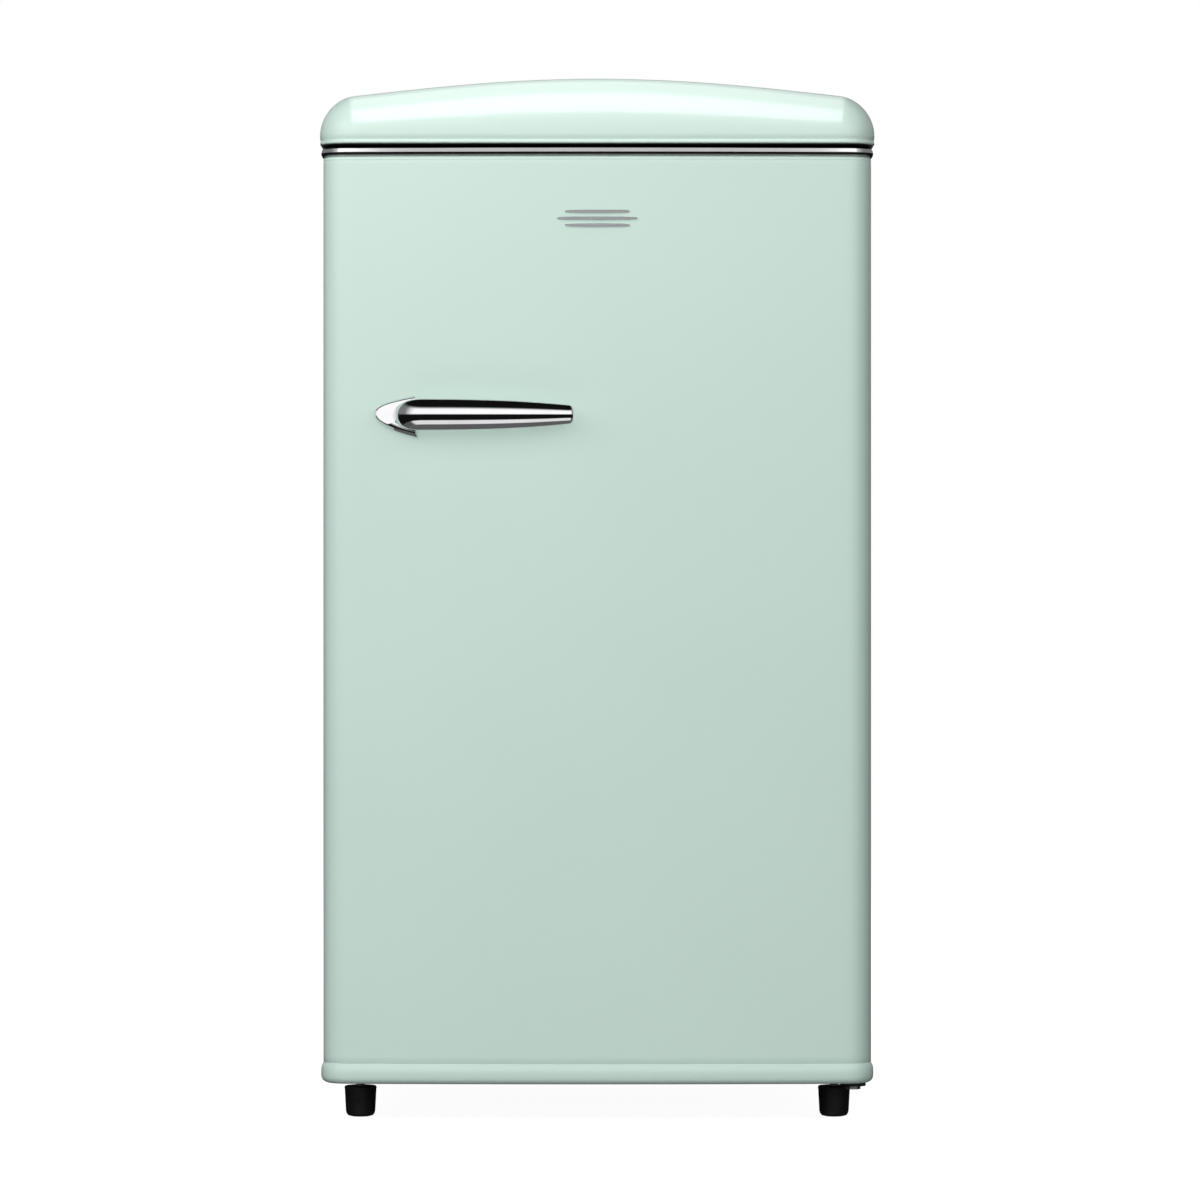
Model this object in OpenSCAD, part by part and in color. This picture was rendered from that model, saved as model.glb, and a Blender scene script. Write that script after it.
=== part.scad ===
/* [Overall size] */
// Width across the top cap
overall_w = 484; // [482:1:488]
// Height from the floor to the crown of the top cap
overall_h = 914; // [906:1:924]
// Depth from the front of the handle to the wall spacers
overall_d = 534; // [532:1:540]

/* [Cabinet] */
// Width of the steel cabinet
cabinet_w = 470; // [468:1:472]
// Width inside the liner
inner_w = 400; // [398:1:402]
// Height of the top cap, rim to crown
cap_h = 62; // [60:1:64]
// Radius of the cap's arch, side to side
cap_arch_r = 1530; // [1400:10:1800]
// Radius of the cap's slighter bow, front to back
cap_bow_r = 6000; // [4000:100:9000]
// Radius of the cap's shoulders
cap_corner_r = 30; // [26:1:32]

/* [Door] */
// Width of the door
door_w = 478; // [476:1:480]
// Thickness of the door at its middle
door_t = 56; // [54:1:58]
// Radius of the door's gentle bow in plan
door_bow_r = 3890; // [3000:10:6000]
// Radius of the door's front corners
door_corner_r = 22; // [18:1:26]

/* [Inside] */
// Height of the crisper drawer
crisper_h = 156; // [140:1:158]
// Height of the ice box
ice_h = 107; // [100:1:108]

/* [Feet] */
// Gap under the cabinet
foot_h = 32; // [30:1:34]
// Diameter of a foot where it meets the cabinet
foot_d = 28.6; // [26:0.2:32]

/* [Hidden] */
$fn = 48;
steel = 1;
plastic = 2;
mint = [0.78, 0.88, 0.83];
chrome = [0.80, 0.81, 0.82];
white = [0.93, 0.94, 0.93];
black = [0.09, 0.09, 0.10];
dark = [0.20, 0.20, 0.21];
zinc = [0.66, 0.68, 0.70];
copper = [0.72, 0.45, 0.30];
foam = [0.93, 0.86, 0.62];
clear = [0.80, 0.90, 0.92, 0.45];

// Levels, front to back
handle_front = -overall_d / 2;
wall_y = overall_d / 2;
door_front = handle_front + 35;
door_back = door_front + door_t;
cabinet_front = door_back + 14.5;
cabinet_back = wall_y - 32;
liner_back = cabinet_back - 40;
gasket_front = door_back + plastic;
gasket_back = cabinet_front - 0.5;

cap_front = door_front - 1;
cap_back = cabinet_back + steel;
cap_mid = (cap_front + cap_back) / 2;

// Levels, bottom to top
cabinet_z0 = foot_h;
base_t = 1.5;
base_top = cabinet_z0 + base_t;
cap_rim = overall_h - cap_h;
door_top = cap_rim - 4;
cabinet_z1 = door_top + 0.8;
door_bottom = cabinet_z0 + 2.5;
bead_top = door_bottom + 18;
trim_bottom = door_top - 6.6;
liner_floor = cabinet_z0 + 46;
liner_ceiling = cabinet_z1 - 40.8;
rail_back = cabinet_front + 33.5;
rail_top = liner_floor - 5;

// Machine compartment behind the liner's step
machine_y = cabinet_back - 115;
machine_z = cabinet_z0 + 183;
step_y = machine_y - 35;
step_z = machine_z + 35;

// Door edges
flange_w = 30;
gasket_outer_w = 440;
gasket_w = 17;
gasket_z0 = liner_floor - 22;
gasket_z1 = liner_ceiling + 22;
dyke_out = 183;
dyke_in = 165;
dyke_back = door_back + 36;

skin_t = 1.2;
skin_lip = 12;
cap_collar = 5;
top_collar = 7;

// Door racks, from the bottom up
rack_z = [92, 330, 560];
rack_h = [90, 66, 66];
rack_depth = 40;

// Door hinge
hinge_x = 224;
hinge_y = door_back - 14;
pin_r = 4;
pin_clear = 0.05;
bush_r = 6.5;
plate_t = 2.4;
hinge_plate_z = cabinet_z0 - 1.5;
hinge_screw_x = [cabinet_w / 2 - 28, cabinet_w / 2 - 10];
hinge_screw_y = cabinet_front + 18;
hinge_screw_z = cabinet_z0 + 12;
upper_screw_r = 2.5;
lower_screw_r = 2;
bore_gap = 0.1;

// The cap's base plate and the two ribs it stands on
cap_wall = 2.5;
base_plate_z = cap_rim - 0.7;
base_plate_inset = 3;
cap_rib_x = 185;
cap_rib_y = [cabinet_front + 40, cabinet_back - 30];
cap_rib_w = 12;

// Ice box and drip tray
ice_z1 = liner_ceiling - 13;
ice_z0 = ice_z1 - ice_h;
ice_w = 356;
ice_front = cabinet_front + 111.5;
flap_w = 324;
flap_y = ice_front - 14;
flap_z = ice_z1 - 4;
flap_drop = ice_h - 2;
tray_z = ice_z0 - 36;
tray_w = 316;
tray_front = ice_front - 2;

// Shelves and crisper
shelf_z = [385, 520];
shelf_front = cabinet_front + 81.5;
glass_t = 4;
ledge = 10;
crisper_front = cabinet_front + 113.5;
crisper_back = step_y - 5;
crisper_z0 = liner_floor + 0.3;
crisper_grip = 60;

// Thermostat on the right wall
dial_y = 50;
dial_z = 618;
dial_r = 17;
dial_face_x = inner_w / 2 - 30;

// Levelling feet
foot_x = 209;
foot_y = -146;
stud_r = 4;
rear_foot = [205, 205];
foot_top = foot_h - 5;

// Compressor and condenser
comp = [-70, 178];
comp_r = 54;
comp_z0 = 48;
comp_z1 = 182;
comp_seam_z = 108;
bolt_r = 3;
bolt_spread = [60, 36];
grommet_r = 9;
grommet_neck = 5.1;
terminal_z = [118, 166];
suction_z = 132;
suction_x = 60;
capillary_x = 120;
capillary_y = 190;
discharge_z = 76;
drain = comp + [40, 30];
gland = [-180, machine_z + 25];
condenser_y = wall_y - 17;
condenser_x = 150;
condenser_z0 = 250;
passes = 15;
pitch = 38;
coil_r = 2.4;
wire_r = 0.75;
return_x = 172;
condenser_foot = condenser_z0 - 14;
drier = [return_x, condenser_y];
drier_z0 = condenser_foot - 84;
drier_z1 = condenser_foot - 4;

// Handle
handle_z = 615.5;
grip_x0 = -174;
grip_x1 = -20;
grip_h0 = 25.3;
grip_h1 = 16;
grip_t = 18;
boss_tip = -194;
boss_wing = -157;
boss_up = 16;
boss_down = 23;
boss_proud = 6;

// Badge bars
badge_z = 787;
badge_pitch = 6;
badge_w = 70;
badge_proud = 2.2;

// ---- helpers ----

// A box from its lowest corner to its highest
module box(lo, hi) {
    translate(lo) cube(hi - lo);
}

// The children and their mirror image on the other side
module both_sides() {
    children();
    mirror([1, 0, 0]) children();
}

// Extrudes an outline of (x, z) from y0 to y1
module along_y(y0, y1) {
    translate([0, y1, 0]) rotate([90, 0, 0]) linear_extrude(y1 - y0) children();
}

// Extrudes an outline of (y, z) from x0 to x1
module along_x(x0, x1) {
    translate([x0, 0, 0]) rotate([90, 0, 90]) linear_extrude(x1 - x0) children();
}

// A round bar from a point, along one axis
module bar_x(p, r, length) {
    translate(p) rotate([0, 90, 0]) cylinder(r = r, h = length);
}

module bar_y(p, r, length) {
    translate(p) rotate([-90, 0, 0]) cylinder(r = r, h = length);
}

module bar_z(p, r, length) {
    translate(p) cylinder(r = r, h = length);
}

// Points of an arc, from angle a0 to a1, in n steps
function arc(c, r, a0, a1, n) =
    [for (i = [0:n]) c + r * [cos(a0 + (a1 - a0) * i / n), sin(a0 + (a1 - a0) * i / n)]];

// The arc's points without its two ends
function inner_arc(c, r, a0, a1, n) =
    [for (i = [1:n - 1]) c + r * [cos(a0 + (a1 - a0) * i / n), sin(a0 + (a1 - a0) * i / n)]];

// A rounded rectangle about the origin
function rounded(w, h, r) = concat(
    arc([w / 2 - r, h / 2 - r], r, 0, 90, 6),
    arc([r - w / 2, h / 2 - r], r, 90, 180, 6),
    arc([r - w / 2, r - h / 2], r, 180, 270, 6),
    arc([w / 2 - r, r - h / 2], r, 270, 360, 6)
);

// A flat-based outline whose top is a wide bow that runs tangent into two corner arcs
function crowned(half_w, apex, bow_r, corner_r, base) =
    let (
        bow_c = apex - bow_r,
        c_x = half_w - corner_r,
        c_y = bow_c + sqrt(pow(bow_r - corner_r, 2) - pow(c_x, 2)),
        a = atan2(c_y - bow_c, c_x)
    )
    concat(
        [[half_w, base]],
        arc([c_x, c_y], corner_r, 0, a, 7),
        inner_arc([0, bow_c], bow_r, a, 180 - a, 16),
        arc([-c_x, c_y], corner_r, 180 - a, 180, 7),
        [[-half_w, base]]
    );

// The door's plan, grown by g all round, with its flat side at y = back
module door_plan(g, back = door_back) {
    mirror([0, 1]) polygon(crowned(
        door_w / 2 + g, -door_front + g, door_bow_r + g, door_corner_r + g, -back
    ));
}

// A tray with four walls and a floor
module tub(lo, hi, wall) {
    difference() {
        box(lo, hi);
        box(lo + [wall, wall, wall], [hi[0] - wall, hi[1] - wall, hi[2] + 1]);
    }
}

// A path whose corners are each replaced by a short quadratic curve
function eased(pts, d, n) = concat(
    [pts[0]],
    [for (i = [1:len(pts) - 2])
        let (
            p = pts[i],
            v0 = pts[i - 1] - p,
            v1 = pts[i + 1] - p,
            a = p + v0 * min(d, norm(v0) / 2.02) / norm(v0),
            b = p + v1 * min(d, norm(v1) / 2.02) / norm(v1)
        )
        for (k = [0:n]) let (t = k / n) a * pow(1 - t, 2) + p * 2 * t * (1 - t) + b * t * t
    ],
    [pts[len(pts) - 1]]
);

function unit(v) = v / norm(v);

// Direction of travel at point i of a path
function heading(path, i) =
    i == 0 ? unit(path[1] - path[0])
    : i == len(path) - 1 ? unit(path[i] - path[i - 1])
    : unit(unit(path[i] - path[i - 1]) + unit(path[i + 1] - path[i]));

// Sideways directions carried along the path without twist
function sideways(path, i, found) =
    i == len(path) ? found
    : let (t = heading(path, i), n = found[i - 1] - (found[i - 1] * t) * t)
        sideways(path, i + 1, concat(found, [unit(n)]));

// A round tube swept along a path, as one closed mesh
module pipe(path, r, sides = 8) {
    t0 = heading(path, 0);
    n0 = unit(cross(t0, abs(t0[2]) < 0.9 ? [0, 0, 1] : [1, 0, 0]));
    ns = sideways(path, 1, [n0]);
    last = len(path) - 1;
    points = [for (i = [0:last]) let (n = ns[i], b = cross(heading(path, i), n))
        for (k = [0:sides - 1])
            path[i] + r * (cos(360 * k / sides) * n + sin(360 * k / sides) * b)];
    walls = [for (i = [0:last - 1]) for (k = [0:sides - 1])
        [i * sides + k, (i + 1) * sides + k,
         (i + 1) * sides + (k + 1) % sides, i * sides + (k + 1) % sides]];
    start = [for (k = [0:sides - 1]) k];
    end = [for (k = [sides - 1:-1:0]) last * sides + k];
    polyhedron(points, concat([start], walls, [end]));
}

// ---- cabinet ----

module upper_screw_bores() {
    for (x = hinge_screw_x)
        bar_z([x, hinge_screw_y, cabinet_z1 - 10], upper_screw_r + bore_gap, 14);
}

module cabinet_shell() {
    half = cabinet_w / 2;
    color(mint) difference() {
        box([-half, cabinet_front, cabinet_z0], [half, cabinet_back, cabinet_z1]);
        box([steel - half, cabinet_front + steel, cabinet_z0 - 1],
            [half - steel, cabinet_back + 1, cabinet_z1 - steel]);
        box([flange_w - half, cabinet_front - 1, cabinet_z0 - 1],
            [half - flange_w, cabinet_front + 2, liner_ceiling + half - flange_w - inner_w / 2]);
        upper_screw_bores();
        lower_screw_bores();
    }
}

module rear_panel() {
    half = cabinet_w / 2;
    color(zinc) difference() {
        box([-half, cabinet_back, machine_z - 3], [half, cabinet_back + steel, cabinet_z1]);
        bar_y([gland[0], cabinet_back - 1, gland[1]], 9.1, 3);
    }
}

// The liner's inside space, grown by g
module liner_space(g, front) {
    along_x(-inner_w / 2 - g, inner_w / 2 + g) polygon([
        [front, liner_floor - g],
        [step_y + g, liner_floor - g],
        [step_y + g, step_z - g],
        [liner_back + g, step_z - g],
        [liner_back + g, liner_ceiling + g],
        [front, liner_ceiling + g]
    ]);
}

module liner_lip(g = 0) {
    lip = cabinet_w / 2 - flange_w - inner_w / 2 + g;
    box([-inner_w / 2 - lip, cabinet_front, liner_floor - lip],
        [inner_w / 2 + lip, cabinet_front + plastic + g, liner_ceiling + lip]);
}

module liner() {
    color(white) {
        difference() {
            union() {
                liner_space(plastic, cabinet_front);
                liner_lip();
            }
            liner_space(0, cabinet_front - 1);
        }
        both_sides() for (z = shelf_z)
            box([inner_w / 2 - ledge, shelf_front, z - 6],
                [inner_w / 2 + 1, liner_back - 2, z]);
        both_sides()
            box([inner_w / 2 - ledge, shelf_front + 16, step_z - 6],
                [inner_w / 2 + 1, step_y - 5, step_z]);
    }
}

module cabinet_insulation() {
    half = cabinet_w / 2 - steel;
    color(foam) difference() {
        box([-half, cabinet_front + steel, base_top],
            [half, cabinet_back, cabinet_z1 - steel]);
        liner_space(plastic, cabinet_front - 1);
        liner_lip(0.1);
        box([-half - 1, machine_y - steel, cabinet_z0],
            [half + 1, cabinet_back + 1, machine_z]);
        box([-half - 1, cabinet_front, cabinet_z0], [half + 1, rail_back, rail_top]);
        upper_screw_bores();
    }
}

module base_pan() {
    half = cabinet_w / 2 - steel;
    color(zinc) difference() {
        union() {
            box([-half, rail_back, cabinet_z0], [half, cabinet_back, base_top]);
            box([-half, cabinet_back - base_t, cabinet_z0], [half, cabinet_back, cabinet_z0 + 14]);
        }
        for (p = grommet_places()) bar_z([p[0], p[1], cabinet_z0 - 1], bolt_r + 0.2, 4);
        both_sides() bar_z([rear_foot[0], rear_foot[1], cabinet_z0 - 1], 3.1, 4);
    }
}

module front_base_rail() {
    half = cabinet_w / 2 - steel;
    front = cabinet_front + steel;
    color(zinc) difference() {
        box([-half, front, cabinet_z0], [half, rail_back, rail_top]);
        box([-half - 1, front + base_t, base_top], [half + 1, rail_back + 1, rail_top - base_t]);
        box([-half - 1, rail_back - 16, rail_top - 3], [half + 1, rail_back + 1, rail_top + 1]);
        both_sides() bar_z([foot_x, foot_y, cabinet_z0 - 1], 7.1, 4);
        lower_screw_bores();
    }
}

module hump_plate() {
    half = cabinet_w / 2 - steel;
    color(zinc) difference() {
        box([-half, machine_y - steel, base_top], [half, cabinet_back, machine_z]);
        box([-half - 1, machine_y, base_top - 1], [half + 1, cabinet_back + 1, machine_z - steel]);
        bar_z([suction_end[0], suction_end[1], machine_z - 3], 5.2, 5);
        bar_z([capillary_end[0], capillary_end[1], machine_z - 3], 2.2, 5);
    }
}

// ---- top cap ----

// The cap's crowned block, with every face moved in by g
module cap_block(g, rim) {
    half = overall_w / 2 - g;
    deep = (cap_back - cap_front) / 2 - g;
    intersection() {
        along_y(cap_front - 1, cap_back + 1)
            polygon(crowned(half, overall_h - g, cap_arch_r, cap_corner_r - g, rim));
        translate([0, cap_mid, 0]) along_x(-half - 1, half + 1)
            polygon(crowned(deep, overall_h - g, cap_bow_r, cap_corner_r - g, rim));
        translate([0, cap_mid, rim]) linear_extrude(cap_h + 1)
            polygon(rounded(2 * half, 2 * deep, cap_corner_r - 4 - g));
    }
}

module top_cap() {
    color(mint) difference() {
        cap_block(0, cap_rim);
        cap_block(cap_wall, cap_rim - 1);
    }
}

module cap_base() {
    w = overall_w - 2 * base_plate_inset;
    d = cap_back - cap_front - 2 * base_plate_inset;
    color(black) {
        translate([0, cap_mid, base_plate_z]) linear_extrude(2.7)
            polygon(rounded(w, d, cap_corner_r - 4 - base_plate_inset));
        for (y = cap_rib_y)
            box([-cap_rib_x, y, cabinet_z1], [cap_rib_x, y + cap_rib_w, base_plate_z + 1]);
    }
}

module cap_screws() {
    color(zinc) for (x = [-170, 0, 170])
        bar_y([x, cap_back, cap_rim + 8], 4, 2.5);
}

// ---- hinges ----

module upper_hinge_bracket() {
    z0 = cabinet_z1;
    color(dark) difference() {
        union() {
            box([hinge_x - 26, cabinet_front + 6, z0], [cabinet_w / 2 - 2, cabinet_front + 32, z0 + plate_t]);
            box([hinge_x - 14, hinge_y, z0], [cabinet_w / 2 - 2, cabinet_front + 7, z0 + plate_t]);
            bar_z([hinge_x, hinge_y, z0], 10, plate_t);
        }
        bar_z([hinge_x, hinge_y, z0 - 1], pin_r, 6);
        upper_screw_bores();
    }
}

module lower_screw_bores() {
    for (x = hinge_screw_x)
        bar_y([x, cabinet_front - 4, hinge_screw_z], lower_screw_r + bore_gap, 12);
}

module lower_hinge_bracket() {
    front = cabinet_front - plate_t;
    color(dark) difference() {
        union() {
            box([hinge_x - 24, front, hinge_plate_z], [cabinet_w / 2, cabinet_front, cabinet_z0 + 20]);
            box([hinge_x - 11, hinge_y, hinge_plate_z], [cabinet_w / 2, front + 1, hinge_plate_z + plate_t]);
            bar_z([hinge_x, hinge_y, hinge_plate_z], 11, plate_t);
        }
        bar_z([hinge_x, hinge_y, hinge_plate_z - 1], pin_r, 6);
        lower_screw_bores();
    }
}

module hinge_pins() {
    color(zinc) {
        bar_z([hinge_x, hinge_y, door_top - 11], pin_r, cabinet_z1 + plate_t - door_top + 11);
        bar_z([hinge_x, hinge_y, hinge_plate_z], pin_r, 14);
        translate([hinge_x, hinge_y, hinge_plate_z - 3]) cylinder(r = 6.5, h = 3, $fn = 6);
    }
}

module hinge_screws() {
    color(zinc) {
        for (x = hinge_screw_x) {
            bar_z([x, hinge_screw_y, cabinet_z1 - 9], upper_screw_r, 9 + plate_t);
            bar_y([x, cabinet_front - plate_t, hinge_screw_z], lower_screw_r, 10);
            bar_y([x, cabinet_front - plate_t - 2.4, hinge_screw_z], 3.6, 2.4);
        }
    }
}

// ---- cooling machine ----

function grommet_places() = [for (i = [-1, 1]) for (j = [-1, 1])
    [comp[0] + i * bolt_spread[0], comp[1] + j * bolt_spread[1]]];

suction_end = [suction_x, comp[1], machine_z - steel];
capillary_end = [capillary_x, capillary_y, machine_z - steel];

module compressor() {
    color(black) translate([comp[0], comp[1], 0]) {
        rotate_extrude() polygon(concat(
            [[0, comp_z0]],
            arc([comp_r - 14, comp_z0 + 14], 14, 270, 360, 6),
            arc([comp_r - 36, comp_z1 - 36], 36, 0, 90, 8),
            [[0, comp_z1]]
        ));
        translate([0, 0, comp_seam_z]) difference() {
            cylinder(r = comp_r + 3, h = 5);
            translate([0, 0, -1]) cylinder(r = comp_r - 2, h = 7);
        }
    }
}

module compressor_plate() {
    color(black) difference() {
        box([comp[0] - 72, comp[1] - 46, comp_z0 - 4], [comp[0] + 72, comp[1] + 46, comp_z0]);
        for (p = grommet_places()) bar_z([p[0], p[1], comp_z0 - 5], grommet_neck + bore_gap, 6);
    }
}

module compressor_grommets() {
    color(dark) for (p = grommet_places()) difference() {
        union() {
            bar_z([p[0], p[1], base_top], grommet_r, comp_z0 - 4 - base_top);
            bar_z([p[0], p[1], comp_z0 - 5], grommet_neck, 6);
            bar_z([p[0], p[1], comp_z0], grommet_r - 1, 3);
        }
        bar_z([p[0], p[1], base_top - 1], bolt_r + 0.2, 30);
    }
}

module compressor_bolts() {
    color(zinc) for (p = grommet_places()) {
        bar_z([p[0], p[1], cabinet_z0], bolt_r, comp_z0 + 5 - cabinet_z0);
        translate([p[0], p[1], comp_z0 + 3]) cylinder(r = 2 * bolt_r, h = 4, $fn = 6);
    }
}

module terminal_cover() {
    color(dark) difference() {
        box([comp[0] - comp_r - 26, comp[1] - 24, terminal_z[0]],
            [comp[0] - comp_r + 8, comp[1] + 24, terminal_z[1]]);
        bar_z([comp[0], comp[1], 100], comp_r + 0.1, 80);
    }
}

module suction_tube() {
    start = [comp[0] + comp_r, comp[1], suction_z];
    knee = [suction_x - 34, comp[1], suction_z];
    rise = [suction_x, comp[1], suction_z + 18];
    color(copper) pipe(eased([start, knee, rise, suction_end], 16, 4), 4.5);
}

discharge_start = [comp[0] + 48, comp[1] - 24.5, 90];

module discharge_tube() {
    color(copper) pipe(eased([
        discharge_start,
        discharge_start + [26, -8, 0],
        [36, comp[1] + 46, discharge_z],
        [0, condenser_y, discharge_z],
        [-condenser_x, condenser_y, discharge_z + 8],
        [-condenser_x, condenser_y, condenser_foot]
    ], 16, 4), coil_r);
}

// Side to side passes, then a return line down the right-hand side
module condenser_tube() {
    top = condenser_z0 + (passes - 1) * pitch;
    start = [-condenser_x, condenser_y, condenser_foot];
    sweeps = [for (i = [0:passes - 1]) for (s = [-1, 1])
        [(i % 2 == 0 ? s : -s) * condenser_x, condenser_y, condenser_z0 + i * pitch]];
    finish = [[return_x, condenser_y, top], [return_x, condenser_y, drier_z1]];
    color(black) pipe(eased(concat([start], sweeps, finish), pitch / 2.05, 4), coil_r);
}

module condenser_wires() {
    color(black) for (side = [-1, 1]) for (x = [12 - condenser_x:12:condenser_x - 12])
        bar_z([x, condenser_y + side * (coil_r + wire_r + 0.05), condenser_z0 - 14],
            wire_r, (passes - 1) * pitch + 28);
}

module condenser_brackets() {
    color(dark) both_sides() for (z = [condenser_z0 + 1.5 * pitch, condenser_z0 + 11.5 * pitch]) {
        box([184, cabinet_back + steel, z - 14], [204, wall_y, z + 14]);
        box([138, condenser_y + 4.2, z - 5], [185, condenser_y + 9, z + 5]);
    }
}

module filter_drier() {
    p = [drier[0], drier[1], 0];
    color(copper) translate(p) rotate_extrude() polygon([
        [0, drier_z0], [3, drier_z0], [9, drier_z0 + 9],
        [9, drier_z1 - 9], [3.4, drier_z1], [0, drier_z1]
    ]);
}

module capillary_tube() {
    loop_z = drier_z0 - 52;
    color(copper) pipe(eased([
        [drier[0], drier[1], drier_z0],
        [drier[0], drier[1], loop_z],
        [capillary_x + 26, capillary_y + 38, loop_z - 22],
        [capillary_x, capillary_y, loop_z - 10],
        capillary_end
    ], 20, 5), 1.2);
}

module drain_pan() {
    color(black) tub([comp[0] - 62, comp[1] - 46, comp_z1], [comp[0] + 62, comp[1] + 46, comp_z1 + 16], 2);
}

module drain_tube() {
    color(white) difference() {
        bar_z([drain[0], drain[1], comp_z1 + 9], 6, machine_z - steel - comp_z1 - 9);
        bar_z([drain[0], drain[1], comp_z1], 4.5, machine_z);
    }
}

// ---- ice box ----

module ice_outline(g) {
    translate([0, (ice_z0 + ice_z1) / 2]) polygon(rounded(ice_w + 2 * g, ice_h + 2 * g, 12 + g));
}

module evaporator() {
    color(zinc) difference() {
        along_y(ice_front, liner_back - 12) ice_outline(0);
        along_y(ice_front - 1, liner_back - 14) ice_outline(-2);
    }
}

module evaporator_hangers() {
    color(white) both_sides() for (y = [ice_front + 30, liner_back - 40])
        bar_z([ice_w / 2 - 40, y, ice_z1], 6, liner_ceiling - ice_z1);
}

module ice_box_frame() {
    front = ice_front - 8;
    color(white) {
        difference() {
            along_y(front, ice_front) ice_outline(5);
            along_y(front - 1, ice_front + 1) ice_outline(-8);
        }
        both_sides() difference() {
            box([flap_w / 2 + 1, flap_y - 6, flap_z - 6], [flap_w / 2 + 8, front + 1, flap_z + 6]);
            bar_x([flap_w / 2, flap_y, flap_z], 2.56, 10);
        }
    }
}

module ice_box_door() {
    color(clear) {
        difference() {
            union() {
                box([-flap_w / 2, flap_y - 4, flap_z - flap_drop], [flap_w / 2, flap_y + 4, flap_z]);
                bar_x([-flap_w / 2, flap_y, flap_z], 4, flap_w);
            }
            box([6 - flap_w / 2, flap_y - 1.5, flap_z - flap_drop + 6],
                [flap_w / 2 - 6, flap_y + 5, flap_z - 8]);
        }
        bar_x([-flap_w / 2 - 6, flap_y, flap_z], 2.5, 7);
        bar_x([flap_w / 2 - 1, flap_y, flap_z], 2.5, 7);
        box([-30, flap_y - 9, flap_z - flap_drop], [30, flap_y - 3, flap_z - flap_drop + 5]);
    }
}

module tray_rails() {
    outer = tray_w / 2 + 5;
    color(white) both_sides() {
        box([outer - 3, ice_front + 2, tray_z - 3], [outer, liner_back - 40, ice_z0]);
        box([outer - 13, ice_front + 2, tray_z - 3], [outer, liner_back - 40, tray_z - 0.3]);
    }
}

module drip_tray() {
    color(clear) {
        tub([-tray_w / 2, tray_front, tray_z], [tray_w / 2, liner_back - 45, tray_z + 28], 2);
        box([-tray_w / 2 - 3, tray_front - 4, tray_z - 3], [tray_w / 2 + 3, tray_front + 1, tray_z + 31]);
    }
}

// ---- shelves and crisper ----

module shelf_glass() {
    color(clear) for (z = shelf_z)
        box([3 - inner_w / 2, shelf_front + 8, z], [inner_w / 2 - 3, liner_back - 7, z + glass_t]);
}

module shelf_trims() {
    color(white) for (z = shelf_z) {
        difference() {
            box([3 - inner_w / 2, shelf_front, z + 0.2], [inner_w / 2 - 3, shelf_front + 14, z + 9]);
            box([-inner_w / 2, shelf_front + 8, z - 1], [inner_w / 2, shelf_front + 15, z + glass_t]);
        }
        box([3 - inner_w / 2, liner_back - 7, z], [inner_w / 2 - 3, liner_back - 3, z + 14]);
    }
}

module crisper_cover() {
    color(clear) {
        box([3 - inner_w / 2, shelf_front + 16, step_z], [inner_w / 2 - 3, liner_back - 3, step_z + glass_t]);
        box([ledge + 2 - inner_w / 2, shelf_front + 12, step_z - 8],
            [inner_w / 2 - ledge - 2, shelf_front + 17, step_z + glass_t + 3]);
    }
}

module crisper_drawer() {
    half = inner_w / 2 - 12;
    z1 = crisper_z0 + crisper_h;
    color(clear) {
        tub([-half, crisper_front, crisper_z0], [half, crisper_back, z1], 2.5);
        difference() {
            box([-half - 4, crisper_front - 5, crisper_z0 + 2], [half + 4, crisper_front + 1, z1 + 3]);
            box([-crisper_grip, crisper_front - 6, z1 - 16], [crisper_grip, crisper_front + 2, z1 + 4]);
        }
    }
}

// ---- thermostat ----

module thermostat_housing() {
    color(white) difference() {
        box([dial_face_x, dial_y - 30, dial_z - 28], [inner_w / 2, dial_y + 60, dial_z + 24]);
        bar_x([dial_face_x - 1, dial_y, dial_z], 3.06, 13);
    }
}

module thermostat_knob() {
    x0 = dial_face_x - 14;
    color(white) {
        bar_x([x0 + 6, dial_y, dial_z], dial_r, 7.6);
        box([x0, dial_y - 3, dial_z - dial_r + 2], [x0 + 6.5, dial_y + 3, dial_z + dial_r - 2]);
        bar_x([x0 + 13, dial_y, dial_z], 3, 12);
    }
}

// ---- small cabinet parts ----

module cord_gland() {
    color(black) difference() {
        union() {
            bar_y([gland[0], cabinet_back, gland[1]], 9, 3);
            bar_y([gland[0], cabinet_back + steel, gland[1]], 12, 3);
            bar_y([gland[0], cabinet_back + steel, gland[1]], 7, 11);
        }
        bar_y([gland[0], cabinet_back - 1, gland[1]], 3.6, 20);
    }
}

module rear_screws() {
    color(zinc) both_sides() for (i = [0:4])
        bar_y([cabinet_w / 2 - 12, cabinet_back + steel, machine_z + 40 + i * 138], 3.8, 2.4);
}

module foot_profile() {
    polygon(concat(
        [[0, 0]],
        arc([foot_d / 2 - 5, 4], 4, 270, 350, 5),
        [[foot_d / 2, 9], [foot_d / 2, foot_top], [0, foot_top]]
    ));
}

module rear_feet() {
    color(black) both_sides() translate([rear_foot[0], rear_foot[1], 0]) {
        rotate_extrude() foot_profile();
        cylinder(r = 10, h = cabinet_z0);
        cylinder(r = 3, h = cabinet_z0 + 6);
    }
}

module foot_nuts() {
    color(zinc) both_sides() difference() {
        union() {
            bar_z([foot_x, foot_y, cabinet_z0], 7, base_t);
            translate([foot_x, foot_y, base_top]) cylinder(r = 9, h = 10, $fn = 6);
        }
        bar_z([foot_x, foot_y, cabinet_z0 - 1], stud_r + pin_clear, 20);
    }
}

// A levelling foot: a rubber pad on a threaded stud
module levelling_foot(side) {
    translate([side * foot_x, foot_y, 0]) {
        color(black) rotate_extrude() foot_profile();
        color(zinc) translate([0, 0, foot_top - 1]) cylinder(r = stud_r, h = 34);
    }
}

module foot_left() {
    levelling_foot(-1);
}

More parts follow.
